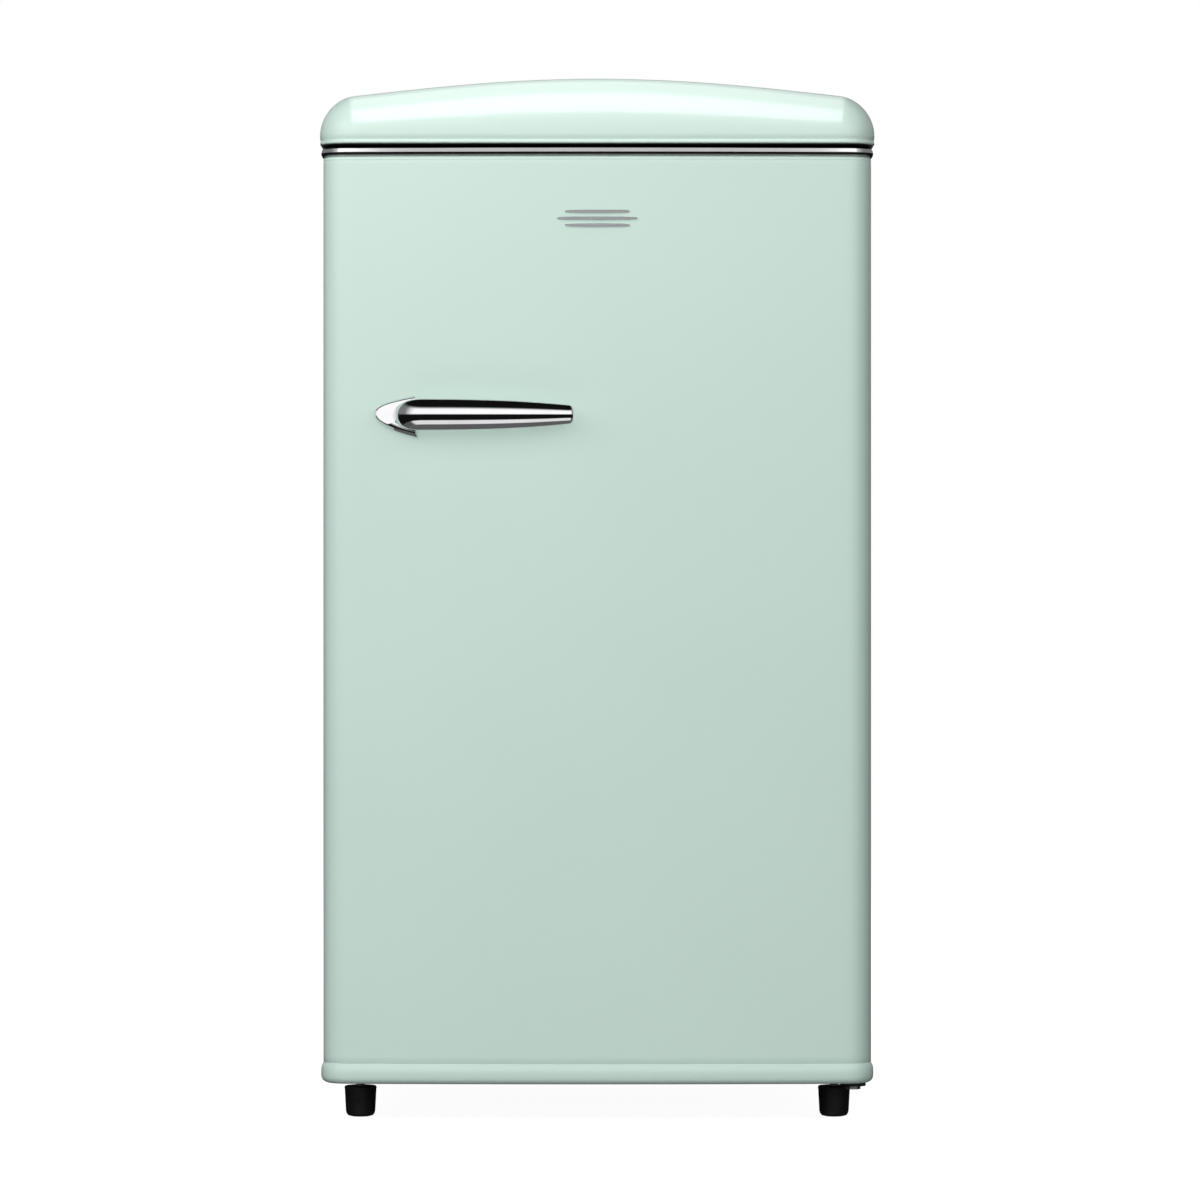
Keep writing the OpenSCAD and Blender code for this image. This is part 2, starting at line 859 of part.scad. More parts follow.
module foot_right() {
    levelling_foot(1);
}

// ---- door ----

// The plan of what slides up inside the door's skin
module door_collar() {
    door_plan(-skin_t - 0.05, door_back - skin_t - 0.05);
}

module door_skin() {
    half = door_w / 2 - skin_lip;
    color(mint) translate([0, 0, bead_top]) difference() {
        linear_extrude(trim_bottom - bead_top) door_plan(0);
        translate([0, 0, -1]) linear_extrude(door_top) door_plan(-skin_t, door_back - skin_t);
        box([-half, door_back - 5, -1], [half, door_back + 1, door_top]);
    }
}

module door_insulation() {
    z0 = bead_top + cap_collar + 0.1;
    z1 = trim_bottom - top_collar - 0.1;
    color(foam) translate([0, 0, z0])
        linear_extrude(z1 - z0) door_plan(-skin_t - 0.1, door_back - skin_t - 0.1);
}

module bush_bores() {
    bar_z([hinge_x, hinge_y, door_bottom - 1], bush_r, 13);
    bar_z([hinge_x, hinge_y, door_top - 12], bush_r, 14);
}

module door_bottom_cap() {
    color(mint) difference() {
        union() {
            translate([0, 0, door_bottom]) linear_extrude(18) door_plan(0.6);
            translate([0, 0, door_bottom + 2]) linear_extrude(13) door_plan(2);
            translate([0, 0, bead_top - 1]) linear_extrude(cap_collar + 1) door_collar();
        }
        translate([0, 0, door_bottom + 5]) linear_extrude(40) door_plan(-4, door_back - 4);
        bush_bores();
    }
    color(mint) difference() {
        bar_z([hinge_x, hinge_y, door_bottom + 0.5], bush_r + 2, 12);
        bush_bores();
    }
}

module door_top_cap() {
    color(black) difference() {
        union() {
            translate([0, 0, trim_bottom - top_collar]) linear_extrude(top_collar) door_collar();
            translate([0, 0, trim_bottom]) linear_extrude(door_top - trim_bottom) door_plan(-3);
        }
        bush_bores();
    }
}

module door_top_trim() {
    color(chrome) translate([0, 0, trim_bottom]) difference() {
        linear_extrude(door_top - trim_bottom) door_plan(2);
        translate([0, 0, -1]) linear_extrude(9) door_plan(-3, door_back + 1);
    }
}

module door_liner() {
    panel_w = gasket_outer_w + 22;
    z0 = gasket_z0 - 6;
    z1 = gasket_z1 + 6;
    dyke_z0 = liner_floor + 7;
    dyke_z1 = liner_ceiling - 7;
    color(white) difference() {
        union() {
            box([-panel_w / 2, door_back, z0], [panel_w / 2, door_back + plastic, z1]);
            both_sides() box([dyke_in, door_back, dyke_z0], [dyke_out, dyke_back, dyke_z1]);
        }
        both_sides() box([dyke_in + plastic, door_back - 1, dyke_z0 + plastic],
            [dyke_out - plastic, dyke_back - plastic, dyke_z1 - plastic]);
    }
}

module door_gasket() {
    outer = gasket_outer_w / 2;
    inner = outer - gasket_w;
    color(white) difference() {
        box([-outer, gasket_front, gasket_z0], [outer, gasket_back, gasket_z1]);
        box([-inner, gasket_front - 1, gasket_z0 + gasket_w],
            [inner, gasket_back + 1, gasket_z1 - gasket_w]);
    }
}

// A door rack between the dykes
module rack(i) {
    back = dyke_back + rack_depth;
    color(clear)
        tub([0.2 - dyke_in, gasket_front, rack_z[i]], [dyke_in - 0.2, back, rack_z[i] + rack_h[i]], 2.5);
}

module rack_bottom() {
    rack(0);
}

module rack_middle() {
    rack(1);
}

module rack_top() {
    rack(2);
}

// ---- handle and badge ----

// A crescent that points left: two arcs that meet at a tip
function wing(tip, reach, height, t) = [tip + reach * pow(t, 1.6), height * t];

module handle_crescent() {
    reach = boss_wing - boss_tip;
    heart = boss_tip + 21;
    polygon(concat(
        [for (t = [0:0.125:1]) wing(boss_tip, reach, boss_up, t)],
        [for (t = [0.875:-0.125:0.125]) wing(heart, reach - 17, boss_up, t)],
        [[heart, 0]],
        [for (t = [0.125:0.125:0.875]) wing(heart, reach - 17, -boss_down, t)],
        [for (t = [1:-0.125:0.125]) wing(boss_tip, reach, -boss_down, t)]
    ));
}

module handle_base() {
    color(chrome) difference() {
        translate([0, 0, handle_z]) union() {
            along_y(door_front - boss_proud, door_front + 12) handle_crescent();
            box([grip_x0 - 2, door_front - 8, -9], [grip_x0 + 22, door_front + 12, 9]);
        }
        translate([0, 0, handle_z - 60]) linear_extrude(120) door_plan(0.02, door_back);
    }
}

module handle_grip() {
    back = handle_front + grip_t;
    color(chrome) translate([0, 0, handle_z]) {
        along_y(handle_front, back) polygon(concat(
            arc([grip_x0 + 6, grip_h0 / 2 - 6], 6, 180, 90, 4),
            arc([grip_x1 - 4, grip_h1 / 2 - 4], 4, 90, 0, 4),
            arc([grip_x1 - 4, 4 - grip_h1 / 2], 4, 0, -90, 4),
            arc([grip_x0 + 6, 6 - grip_h0 / 2], 6, -90, -180, 4)
        ));
        box([grip_x0 + 1, back - 1, -8], [grip_x0 + 21, door_front - 8, 8]);
    }
}

// Three slim streamline bars
module badge() {
    color(chrome) for (i = [-1:1])
        translate([0, 0, badge_z + i * badge_pitch]) along_y(door_front - badge_proud, door_front)
            polygon(rounded(badge_w - 14 * abs(i), 3, 1.4));
}

module hinge_bushes() {
    washer_z = hinge_plate_z + plate_t + pin_clear;
    color(white) difference() {
        union() {
            bar_z([hinge_x, hinge_y, door_bottom], bush_r, 12);
            bar_z([hinge_x, hinge_y, washer_z], 9, door_bottom - washer_z);
            bar_z([hinge_x, hinge_y, door_top - 12], bush_r, 12);
        }
        bar_z([hinge_x, hinge_y, door_bottom - 5], pin_r + pin_clear, 20);
        bar_z([hinge_x, hinge_y, door_top - 15], pin_r + pin_clear, 20);
    }
}

cabinet_shell();
rear_panel();
liner();
cabinet_insulation();
base_pan();
front_base_rail();
hump_plate();
top_cap();
cap_base();
cap_screws();
upper_hinge_bracket();
lower_hinge_bracket();
hinge_pins();
hinge_screws();
compressor();
compressor_plate();
compressor_grommets();
compressor_bolts();
terminal_cover();
suction_tube();
discharge_tube();
filter_drier();
capillary_tube();
condenser_tube();
condenser_wires();
condenser_brackets();
drain_pan();
drain_tube();
evaporator();
evaporator_hangers();
ice_box_frame();
tray_rails();
shelf_glass();
shelf_trims();
crisper_cover();
thermostat_housing();
cord_gland();
rear_screws();
rear_feet();
foot_nuts();
door_skin();
door_top_cap();
door_top_trim();
door_bottom_cap();
door_insulation();
door_liner();
door_gasket();
rack_top();
rack_middle();
rack_bottom();
handle_base();
handle_grip();
badge();
hinge_bushes();
ice_box_door();
drip_tray();
crisper_drawer();
thermostat_knob();
foot_left();
foot_right();
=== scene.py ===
"""The looks of a retro mini fridge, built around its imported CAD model. Metres, +Z up, -Y is the front."""

import math

import bmesh
import bpy
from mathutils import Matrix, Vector


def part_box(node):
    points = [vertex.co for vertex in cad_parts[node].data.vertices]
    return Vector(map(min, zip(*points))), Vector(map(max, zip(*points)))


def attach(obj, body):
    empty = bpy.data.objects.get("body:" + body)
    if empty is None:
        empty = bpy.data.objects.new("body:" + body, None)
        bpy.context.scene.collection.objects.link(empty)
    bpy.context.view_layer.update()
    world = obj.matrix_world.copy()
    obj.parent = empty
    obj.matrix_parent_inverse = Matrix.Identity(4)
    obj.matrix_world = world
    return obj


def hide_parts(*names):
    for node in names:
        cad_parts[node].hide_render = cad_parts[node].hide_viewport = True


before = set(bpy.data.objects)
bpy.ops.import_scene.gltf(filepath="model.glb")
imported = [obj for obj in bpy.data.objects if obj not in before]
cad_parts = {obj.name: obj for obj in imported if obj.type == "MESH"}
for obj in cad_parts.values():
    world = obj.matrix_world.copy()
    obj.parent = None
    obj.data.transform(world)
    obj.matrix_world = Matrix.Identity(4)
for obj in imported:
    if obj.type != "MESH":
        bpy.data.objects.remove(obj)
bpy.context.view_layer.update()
MM = 0.001


# ---- outlines ----


def arc(cx, cy, r, a0, a1, steps):
    """Points of an arc, from angle a0 to a1 in degrees."""
    angles = [math.radians(a0 + (a1 - a0) * i / steps) for i in range(steps + 1)]
    return [(cx + r * math.cos(a), cy + r * math.sin(a)) for a in angles]


def rounded_rect(cx, cy, w, h, r, steps=8):
    """A rectangle with round corners, anticlockwise from its right side."""
    r = max(min(r, w / 2 - 1e-5, h / 2 - 1e-5), 1e-5)
    x, y = w / 2 - r, h / 2 - r
    corners = [(x, y, 0), (-x, y, 90), (-x, -y, 180), (x, -y, 270)]
    return [p for px, py, a in corners for p in arc(cx + px, cy + py, r, a, a + 90, steps)]


def smoothstep(t):
    t = min(max(t, 0.0), 1.0)
    return t * t * (3 - 2 * t)


def lerp(a, b, t):
    return a + (b - a) * t


# ---- meshes ----


def mesh_object(name, verts, faces, sharp=35):
    """A smooth-shaded object whose edges over `sharp` degrees stay crisp."""
    mesh = bpy.data.meshes.new(name)
    mesh.from_pydata([tuple(v) for v in verts], [], faces)
    mesh.validate()
    bm = bmesh.new()
    bm.from_mesh(mesh)
    bmesh.ops.recalc_face_normals(bm, faces=bm.faces)
    bm.to_mesh(mesh)
    bm.free()
    mesh.shade_smooth()
    mesh.set_sharp_from_angle(angle=math.radians(sharp))
    obj = bpy.data.objects.new(name, mesh)
    bpy.context.scene.collection.objects.link(obj)
    return obj


def loft(rings, first=0, ends="face", wrap=False):
    """Vertices and faces through rings of equal length, numbered from `first`.

    The two ends are closed by one face each, or by a "ribbon" of quads where a ring is a thin folded sheet.
    `wrap` joins the last ring to the first instead."""
    n = len(rings[0])
    verts = [v for ring in rings for v in ring]
    faces = []
    pairs = list(zip(range(len(rings) - 1), range(1, len(rings))))
    if wrap:
        pairs.append((len(rings) - 1, 0))
    for i, j in pairs:
        for k in range(n):
            m = (k + 1) % n
            faces.append([i * n + k, i * n + m, j * n + m, j * n + k])
    closed = () if wrap else (0, (len(rings) - 1) * n)
    for start in closed:
        last = start + n - 1
        if ends == "ribbon":
            faces += [[start + k, start + k + 1, last - 1 - k, last - k] for k in range(n // 2 - 1)]
        else:
            faces.append([start + k for k in range(n)])
    return verts, [[first + v for v in face] for face in faces]


class Build:
    """Collects several closed shapes into one object."""

    def __init__(self):
        self.verts = []
        self.faces = []

    def add(self, rings, **how):
        verts, faces = loft(rings, len(self.verts), **how)
        self.verts += verts
        self.faces += faces
        return self

    def make(self, name, sharp=35):
        return mesh_object(name, self.verts, self.faces, sharp)


def in_xy(points, z):
    return [Vector((x, y, z)) for x, y in points]


def in_xz(points, y):
    return [Vector((x, y, z)) for x, z in points]


def in_yz(points, x):
    return [Vector((x, y, z)) for y, z in points]


def lathe_rings(profile, cx, cy, steps=48):
    """Rings of a shape turned about a vertical axis. The profile is (radius, height)."""
    return [
        [
            Vector((cx + max(r, 1e-5) * math.cos(math.tau * k / steps),
                    cy + max(r, 1e-5) * math.sin(math.tau * k / steps), z))
            for k in range(steps)
        ]
        for r, z in profile
    ]


def tub_rings(lo, hi, wall, corner, draft, rim):
    """Rings of an open box with round corners, sloping walls and a rolled rim."""
    cx, cy = (lo[0] + hi[0]) / 2, (lo[1] + hi[1]) / 2
    w, d = hi[0] - lo[0], hi[1] - lo[1]
    foot = min(corner * 0.5, 4 * MM)

    def ring(grow, z):
        return in_xy(rounded_rect(cx, cy, w + 2 * grow, d + 2 * grow, corner + grow), z)

    tall = hi[2] - lo[2]
    rim_h = min(2.4 * MM, tall / 4)
    rows = [
        (-draft - foot, lo[2]),
        (-draft - foot * 0.3, lo[2] + foot * 0.3),
        (-draft, lo[2] + foot),
        (-rim, hi[2] - rim_h * 1.5),
        (-rim * 0.2, hi[2] - rim_h * 1.3),
        (0, hi[2] - rim_h),
        (0, hi[2] - rim_h * 0.35),
        (-0.35 * wall, hi[2]),
        (-0.75 * wall - rim, hi[2]),
        (-wall - rim, hi[2] - rim_h * 0.4),
        (-wall - draft, lo[2] + wall + foot),
        (-wall - draft - foot * 0.3, lo[2] + wall + foot * 0.3),
        (-wall - draft - foot, lo[2] + wall),
    ]
    return [ring(grow, z) for grow, z in rows]


def soft_box(lo, hi, r):
    """Rings of a box whose twelve edges are rounded."""
    cx, cy = (lo[0] + hi[0]) / 2, (lo[1] + hi[1]) / 2
    w, d = hi[0] - lo[0], hi[1] - lo[1]
    rows = [(-r, lo[2]), (-0.3 * r, lo[2] + 0.3 * r), (0, lo[2] + r),
            (0, hi[2] - r), (-0.3 * r, hi[2] - 0.3 * r), (-r, hi[2])]
    return [in_xy(rounded_rect(cx, cy, w + 2 * g, d + 2 * g, r + max(g, -0.9 * r), 3), z) for g, z in rows]


CLEAR = ("clear_plastic", "frosted_plastic", "shelf_glass")


def dress(obj, material):
    """Gives a piece its material. Clear pieces cast no shadow, so that lamps light what is behind them."""
    obj.data.materials.clear()
    obj.data.materials.append(material)
    obj.visible_shadow = material not in [MAT[name] for name in CLEAR]


def put(obj, body, slot, material, *nodes):
    """Places a finished piece: it rides on a body and stands for CAD nodes."""
    dress(obj, material)
    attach(obj, body)
    if nodes:
        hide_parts(*nodes)
    return obj


def bevel(obj, width, segments, angle):
    """Rounds the edges that turn by more than `angle` degrees."""
    mod = obj.modifiers.new("bevel", "BEVEL")
    mod.width = width
    mod.segments = segments
    mod.limit_method = "ANGLE"
    mod.angle_limit = math.radians(angle)
    mod.harden_normals = True


# ---- materials ----

# The middle of a noise texture's output, where nearly all of its values lie
NOISE_LOW, NOISE_HIGH = 0.3, 0.7


def srgb(r, g, b):
    """Display values of 0 to 255 as a linear colour."""
    return tuple(
        c / 12.92 if c <= 0.04045 else ((c + 0.055) / 1.055) ** 2.4 for c in (r / 255, g / 255, b / 255)
    ) + (1.0,)


def mapped(tree, start, end, low, high):
    """A Map Range node that turns start..end into low..high."""
    node = tree.nodes.new("ShaderNodeMapRange")
    for key, number in (("From Min", start), ("From Max", end), ("To Min", low), ("To Max", high)):
        node.inputs[key].default_value = number
    return node


class Surface:
    """A Principled material with helpers that add procedural detail in the piece's own coordinates."""

    def __init__(self, name, colour, roughness, metallic=0.0, **sockets):
        self.mat = bpy.data.materials.new(name)
        self.mat.use_nodes = True
        self.nodes = self.mat.node_tree.nodes
        self.links = self.mat.node_tree.links
        self.shader = self.nodes["Principled BSDF"]
        self.shader.inputs["Base Color"].default_value = colour
        self.shader.inputs["Roughness"].default_value = roughness
        self.shader.inputs["Metallic"].default_value = metallic
        for key, value in sockets.items():
            self.shader.inputs[key.replace("_", " ")].default_value = value
        self.colour = colour
        self.coords = self.nodes.new("ShaderNodeTexCoord").outputs["Object"]

    def noise(self, scale, detail=3.0, stretch=None):
        tex = self.nodes.new("ShaderNodeTexNoise")
        tex.inputs["Scale"].default_value = scale
        tex.inputs["Detail"].default_value = detail
        self.links.new(self.placed(stretch), tex.inputs["Vector"])
        return tex.outputs["Fac"]

    def cells(self, scale):
        """Distance and colour of a cell pattern."""
        tex = self.nodes.new("ShaderNodeTexVoronoi")
        tex.inputs["Scale"].default_value = scale
        self.links.new(self.coords, tex.inputs["Vector"])
        return tex.outputs["Distance"], tex.outputs["Color"]

    def placed(self, stretch):
        """The piece's coordinates, scaled along each axis by `stretch`."""
        if stretch is None:
            return self.coords
        mapping = self.nodes.new("ShaderNodeMapping")
        mapping.inputs["Scale"].default_value = stretch
        self.links.new(self.coords, mapping.inputs["Vector"])
        return mapping.outputs["Vector"]

    def ramp(self, value, stops):
        """Colour between two stops of (position, colour)."""
        ramp = self.nodes.new("ShaderNodeValToRGB")
        for element, stop in zip(ramp.color_ramp.elements, stops):
            element.position, element.color = stop
        self.links.new(value, ramp.inputs["Fac"])
        return ramp.outputs["Color"]

    def tint(self, value, darker, lighter):
        """Colour that drifts between two shades of the base colour over the noise's usual span."""
        low = tuple(c * darker for c in self.colour[:3]) + (1.0,)
        high = tuple(min(c * lighter, 1.0) for c in self.colour[:3]) + (1.0,)
        stops = [(NOISE_LOW, low), (NOISE_HIGH, high)]
        self.links.new(self.ramp(value, stops), self.shader.inputs["Base Color"])

    def blotches(self, value, other, start, end):
        """Patches of another colour, which begin where value passes start."""
        stops = [(start, self.colour), (end, other)]
        self.links.new(self.ramp(value, stops), self.shader.inputs["Base Color"])

    def gloss(self, value, low, high):
        """Roughness that drifts from low to high over the noise's usual span."""
        node = mapped(self, NOISE_LOW, NOISE_HIGH, low, high)
        self.links.new(value, node.inputs["Value"])
        self.links.new(node.outputs["Result"], self.shader.inputs["Roughness"])

    def bump(self, value, distance, strength):
        node = self.nodes.new("ShaderNodeBump")
        node.inputs["Distance"].default_value = distance
        node.inputs["Strength"].default_value = strength
        self.links.new(value, node.inputs["Height"])
        self.links.new(node.outputs["Normal"], self.shader.inputs["Normal"])


def mint_paint():
    """Baked enamel: broad even colour, a soft orange peel under a clear gloss."""
    s = Surface("mint_paint", srgb(199, 222, 212), 0.32, Coat_Weight=0.35, Coat_Roughness=0.12)
    s.tint(s.noise(2.2, 2.0), 0.985, 1.012)
    s.gloss(s.noise(9.0, 4.0), 0.28, 0.36)
    s.bump(s.noise(260.0, 2.0), 0.00006, 0.35)
    return s.mat


def mint_plastic():
    """Glossy moulded cap in the same colour as the enamel."""
    s = Surface("mint_plastic", srgb(199, 222, 212), 0.31, Coat_Weight=0.6, Coat_Roughness=0.11)
    s.tint(s.noise(3.0, 2.0), 0.992, 1.004)
    s.gloss(s.noise(5.0, 2.0), 0.29, 0.33)
    s.bump(s.noise(120.0, 2.0), 0.00004, 0.25)
    return s.mat


def chrome():
    s = Surface("chrome", srgb(232, 232, 234), 0.045, 1.0)
    s.tint(s.noise(40.0, 3.0), 0.96, 1.02)
    s.gloss(s.noise(60.0, 6.0), 0.03, 0.075)
    s.bump(s.noise(900.0, 2.0, (0.1, 1.0, 1.0)), 0.000008, 0.3)
    return s.mat


def chrome_strip():
    """Thin rolled trim, a little duller than the handle."""
    s = Surface("chrome_strip", srgb(230, 230, 230), 0.14, 1.0)
    s.tint(s.noise(30.0, 3.0), 0.94, 1.03)
    s.gloss(s.noise(50.0, 5.0), 0.09, 0.14)
    return s.mat


def galvanised():
    """Zinc-coated sheet with its crystal spangle and a little dust."""
    s = Surface("galvanised", srgb(186, 190, 193), 0.42, 0.3)
    _, colour = s.cells(70.0)
    s.tint(colour, 0.9, 1.05)
    s.gloss(s.noise(30.0, 5.0), 0.34, 0.52)
    s.bump(s.noise(300.0, 3.0), 0.00003, 0.4)
    return s.mat


def zinc_hardware():
    s = Surface("zinc_hardware", srgb(190, 190, 186), 0.3, 1.0)
    s.tint(s.noise(400.0, 4.0), 0.85, 1.06)
    s.gloss(s.noise(600.0, 3.0), 0.29, 0.44)
    return s.mat


def rolled_aluminium():
    """Ice box sheet: rolling lines and a breath of frost."""
    s = Surface("rolled_aluminium", srgb(206, 210, 212), 0.36, 0.9)
    s.tint(s.noise(26.0, 6.0), 0.93, 1.05)
    s.gloss(s.noise(18.0, 8.0), 0.28, 0.5)
    s.bump(s.noise(700.0, 2.0, (1.0, 0.03, 1.0)), 0.00003, 0.4)
    return s.mat


def white_abs():
    """Moulded liner plastic, faintly warm, with a fine grain."""
    s = Surface("white_abs", srgb(236, 238, 236), 0.34, Specular_IOR_Level=0.5)
    s.tint(s.noise(4.0, 3.0), 0.985, 1.005)
    s.gloss(s.noise(25.0, 4.0), 0.3, 0.42)
    s.bump(s.noise(1400.0, 2.0), 0.00003, 0.5)
    return s.mat


def clear_plastic():
    """Crystal polystyrene with a cool tint and soft flow lines."""
    s = Surface("clear_plastic", srgb(226, 240, 242), 0.08, Transmission_Weight=0.82, IOR=1.3)
    s.tint(s.noise(8.0, 2.0), 0.97, 1.0)
    s.gloss(s.noise(30.0, 5.0), 0.06, 0.16)
    s.bump(s.noise(60.0, 2.0, (1.0, 1.0, 0.2)), 0.00005, 0.2)
    return s.mat


def frosted_plastic():
    """The ice box's flap: the same plastic with a moulded frosted grain."""
    s = Surface("frosted_plastic", srgb(214, 232, 238), 0.38, Transmission_Weight=0.55, IOR=1.4)
    s.tint(s.noise(12.0, 3.0), 0.96, 1.01)
    s.gloss(s.noise(200.0, 4.0), 0.3, 0.46)
    s.bump(s.cells(520.0)[0], 0.00008, 0.5)
    return s.mat


def shelf_glass():
    """Toughened float glass with its faint green body."""
    s = Surface("shelf_glass", srgb(222, 242, 234), 0.03, Transmission_Weight=0.92, IOR=1.45)
    s.tint(s.noise(5.0, 2.0), 0.98, 1.0)
    s.gloss(s.noise(20.0, 6.0), 0.02, 0.07)
    return s.mat


def black_enamel():
    s = Surface("black_enamel", srgb(26, 26, 27), 0.36, Coat_Weight=0.25, Coat_Roughness=0.25)
    s.blotches(s.noise(22.0, 7.0), srgb(58, 56, 53), 0.55, 0.8)
    s.gloss(s.noise(16.0, 6.0), 0.3, 0.55)
    s.bump(s.noise(420.0, 2.0), 0.00008, 0.4)
    return s.mat


def black_plastic():
    s = Surface("black_plastic", srgb(24, 24, 26), 0.5)
    s.tint(s.noise(50.0, 4.0), 0.8, 1.35)
    s.gloss(s.noise(120.0, 3.0), 0.42, 0.62)
    s.bump(s.noise(1800.0, 2.0), 0.00006, 0.6)
    return s.mat


def foot_rubber():
    """Moulded rubber with paler scuffed patches."""
    s = Surface("foot_rubber", srgb(8, 8, 9), 0.5, Specular_IOR_Level=0.35)
    s.blotches(s.noise(160.0, 6.0), srgb(20, 20, 20), 0.5, 0.75)
    s.gloss(s.noise(90.0, 4.0), 0.45, 0.7)
    s.bump(s.noise(2200.0, 2.0), 0.00005, 0.6)
    return s.mat


def gasket_vinyl():
    s = Surface("gasket_vinyl", srgb(222, 224, 222), 0.5, Specular_IOR_Level=0.4)
    s.tint(s.noise(30.0, 4.0), 0.95, 1.02)
    s.gloss(s.noise(70.0, 4.0), 0.44, 0.58)
    s.bump(s.noise(900.0, 2.0), 0.00003, 0.5)
    return s.mat


def copper_tube():
    """Drawn copper with brown tarnish."""
    s = Surface("copper_tube", srgb(206, 130, 92), 0.28, 0.55)
    s.blotches(s.noise(45.0, 6.0), srgb(120, 74, 52), 0.45, 0.75)
    s.gloss(s.noise(80.0, 5.0), 0.29, 0.46)
    return s.mat


def foam_core():
    s = Surface("foam_core", srgb(232, 212, 150), 0.9)
    s.tint(s.noise(20.0, 4.0), 0.9, 1.05)
    s.bump(s.cells(900.0)[0], 0.0002, 0.8)
    return s.mat


MAKERS = {
    "mint_paint": mint_paint, "mint_plastic": mint_plastic, "chrome": chrome, "chrome_strip": chrome_strip,
    "galvanised": galvanised, "zinc_hardware": zinc_hardware, "rolled_aluminium": rolled_aluminium,
    "white_abs": white_abs, "clear_plastic": clear_plastic, "frosted_plastic": frosted_plastic,
    "shelf_glass": shelf_glass, "black_enamel": black_enamel, "black_plastic": black_plastic,
    "foot_rubber": foot_rubber, "gasket_vinyl": gasket_vinyl, "copper_tube": copper_tube,
    "foam_core": foam_core,
}
MAT = {name: make() for name, make in MAKERS.items()}


# ---- driving dimensions, from the frame ----

SKIN_LO, SKIN_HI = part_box("door_skin")
CAP_LO, CAP_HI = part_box("top_cap")
LINER_LO, LINER_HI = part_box("liner")
SHELL_LO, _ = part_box("cabinet_shell")
GASKET_LO, GASKET_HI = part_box("door_gasket")
PANEL_LO, PANEL_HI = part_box("door_liner")

DOOR_HALF = SKIN_HI.x
DOOR_FRONT = SKIN_LO.y
DOOR_BACK = SKIN_HI.y
DOOR_BOW = 3890 * MM
DOOR_CORNER = 22 * MM
CORNER_STEPS, BOW_STEPS = 14, 40


def door_arcs(grow):
    """Corner centre, bow centre and the angle where the door's front bow meets its corner arcs."""
    half, bow, corner = DOOR_HALF + grow, DOOR_BOW + grow, DOOR_CORNER + grow
    bow_y = DOOR_FRONT - grow + bow
    cx = half - corner
    cy = bow_y - math.sqrt((bow - corner) ** 2 - cx ** 2)
    return cx, cy, bow_y, math.degrees(math.atan2(bow_y - cy, cx))


def door_front_at(x):
    """The y of the door's bowed front."""
    return DOOR_FRONT + DOOR_BOW - math.sqrt(DOOR_BOW ** 2 - x * x)


def door_front_line(grow):
    """The door's plan from its right side round the front to its left side."""
    cx, cy, bow_y, a = door_arcs(grow)
    corner, bow = DOOR_CORNER + grow, DOOR_BOW + grow
    right = arc(cx, cy, corner, 0, -a, CORNER_STEPS)
    front = arc(0, bow_y, bow, -a, a - 180, BOW_STEPS)
    left = arc(-cx, cy, corner, a - 180, -180, CORNER_STEPS)
    return right + front[1:-1] + left


def door_outline(grow):
    """The whole plan of the door, with a small radius on its two back corners."""
    half, r = DOOR_HALF + grow, 1.5 * MM
    left = arc(-half + r, DOOR_BACK - r, r, 180, 90, 4)
    right = arc(half - r, DOOR_BACK - r, r, 90, 0, 4)
    return door_front_line(grow) + left + right


def door_rows(rows):
    """Rings of the door's plan at rows of (millimetres grown, z)."""
    return [in_xy(door_outline(grow * MM), z) for grow, z in rows]


# ---- top cap ----

CAP_HALF = CAP_HI.x
CAP_DEEP = (CAP_HI.y - CAP_LO.y) / 2
CAP_MID = (CAP_HI.y + CAP_LO.y) / 2
CAP_RIM = CAP_LO.z
CAP_APEX = CAP_HI.z
SHOULDER = 30 * MM
CAP_WALL_TOP = CAP_RIM + 8.6 * MM
CAP_WALL = 2.5 * MM
CAP_SIDE_STEPS = 24
CAP_RINGS = 14


def crown(x, y):
    """Height of the cap's crown, which is arched side to side and bowed a little front to back.

    It falls 15.2 mm to each side, a little less steeply near the shoulders, and 3.4 mm to front and back."""
    u = x / (CAP_HALF - SHOULDER)
    v = (y - CAP_MID) / (CAP_DEEP - SHOULDER)
    return CAP_APEX - (18.4 * u ** 2 - 3.2 * u ** 4 + 3.4 * v ** 2) * MM


def between(start, end, steps):
    """The points that divide a line into equal steps, without its ends."""
    return [(lerp(start[0], end[0], k / steps), lerp(start[1], end[1], k / steps)) for k in range(1, steps)]


def cap_plan(grow):
    """The cap's plan with its straight sides divided, so that the crown can bow along them."""
    half, deep = CAP_HALF + grow, CAP_DEEP + grow
    r = max(SHOULDER + grow, min(4 * MM, deep * 0.4))
    points = []
    for cx, cy, a in [(1, 1, 0), (-1, 1, 90), (-1, -1, 180), (1, -1, 270)]:
        corner = arc(cx * (half - r), CAP_MID + cy * (deep - r), r, a, a + 90, 10)
        if points:
            points += between(points[-1], corner[0], CAP_SIDE_STEPS)
        points += corner
    return points + between(points[-1], points[0], CAP_SIDE_STEPS)


def cap_crown_rings(inset):
    """Rings up the shoulder and over the crown of the cap, moved in by `inset`."""
    foot = CAP_WALL_TOP - inset
    rings = []
    for i in range(CAP_RINGS + 1):
        a = math.radians(90) * i / CAP_RINGS
        plan = cap_plan(-inset - (SHOULDER - inset) * (1 - math.cos(a)))
        rings.append([Vector((x, y, lerp(foot, crown(x, y) - inset, math.sin(a)))) for x, y in plan])
    for i in range(1, CAP_RINGS + 1):
        plan = cap_plan(lerp(-SHOULDER, -CAP_DEEP + 1 * MM, i / CAP_RINGS))
        rings.append([Vector((x, y, crown(x, y) - inset)) for x, y in plan])
    return rings


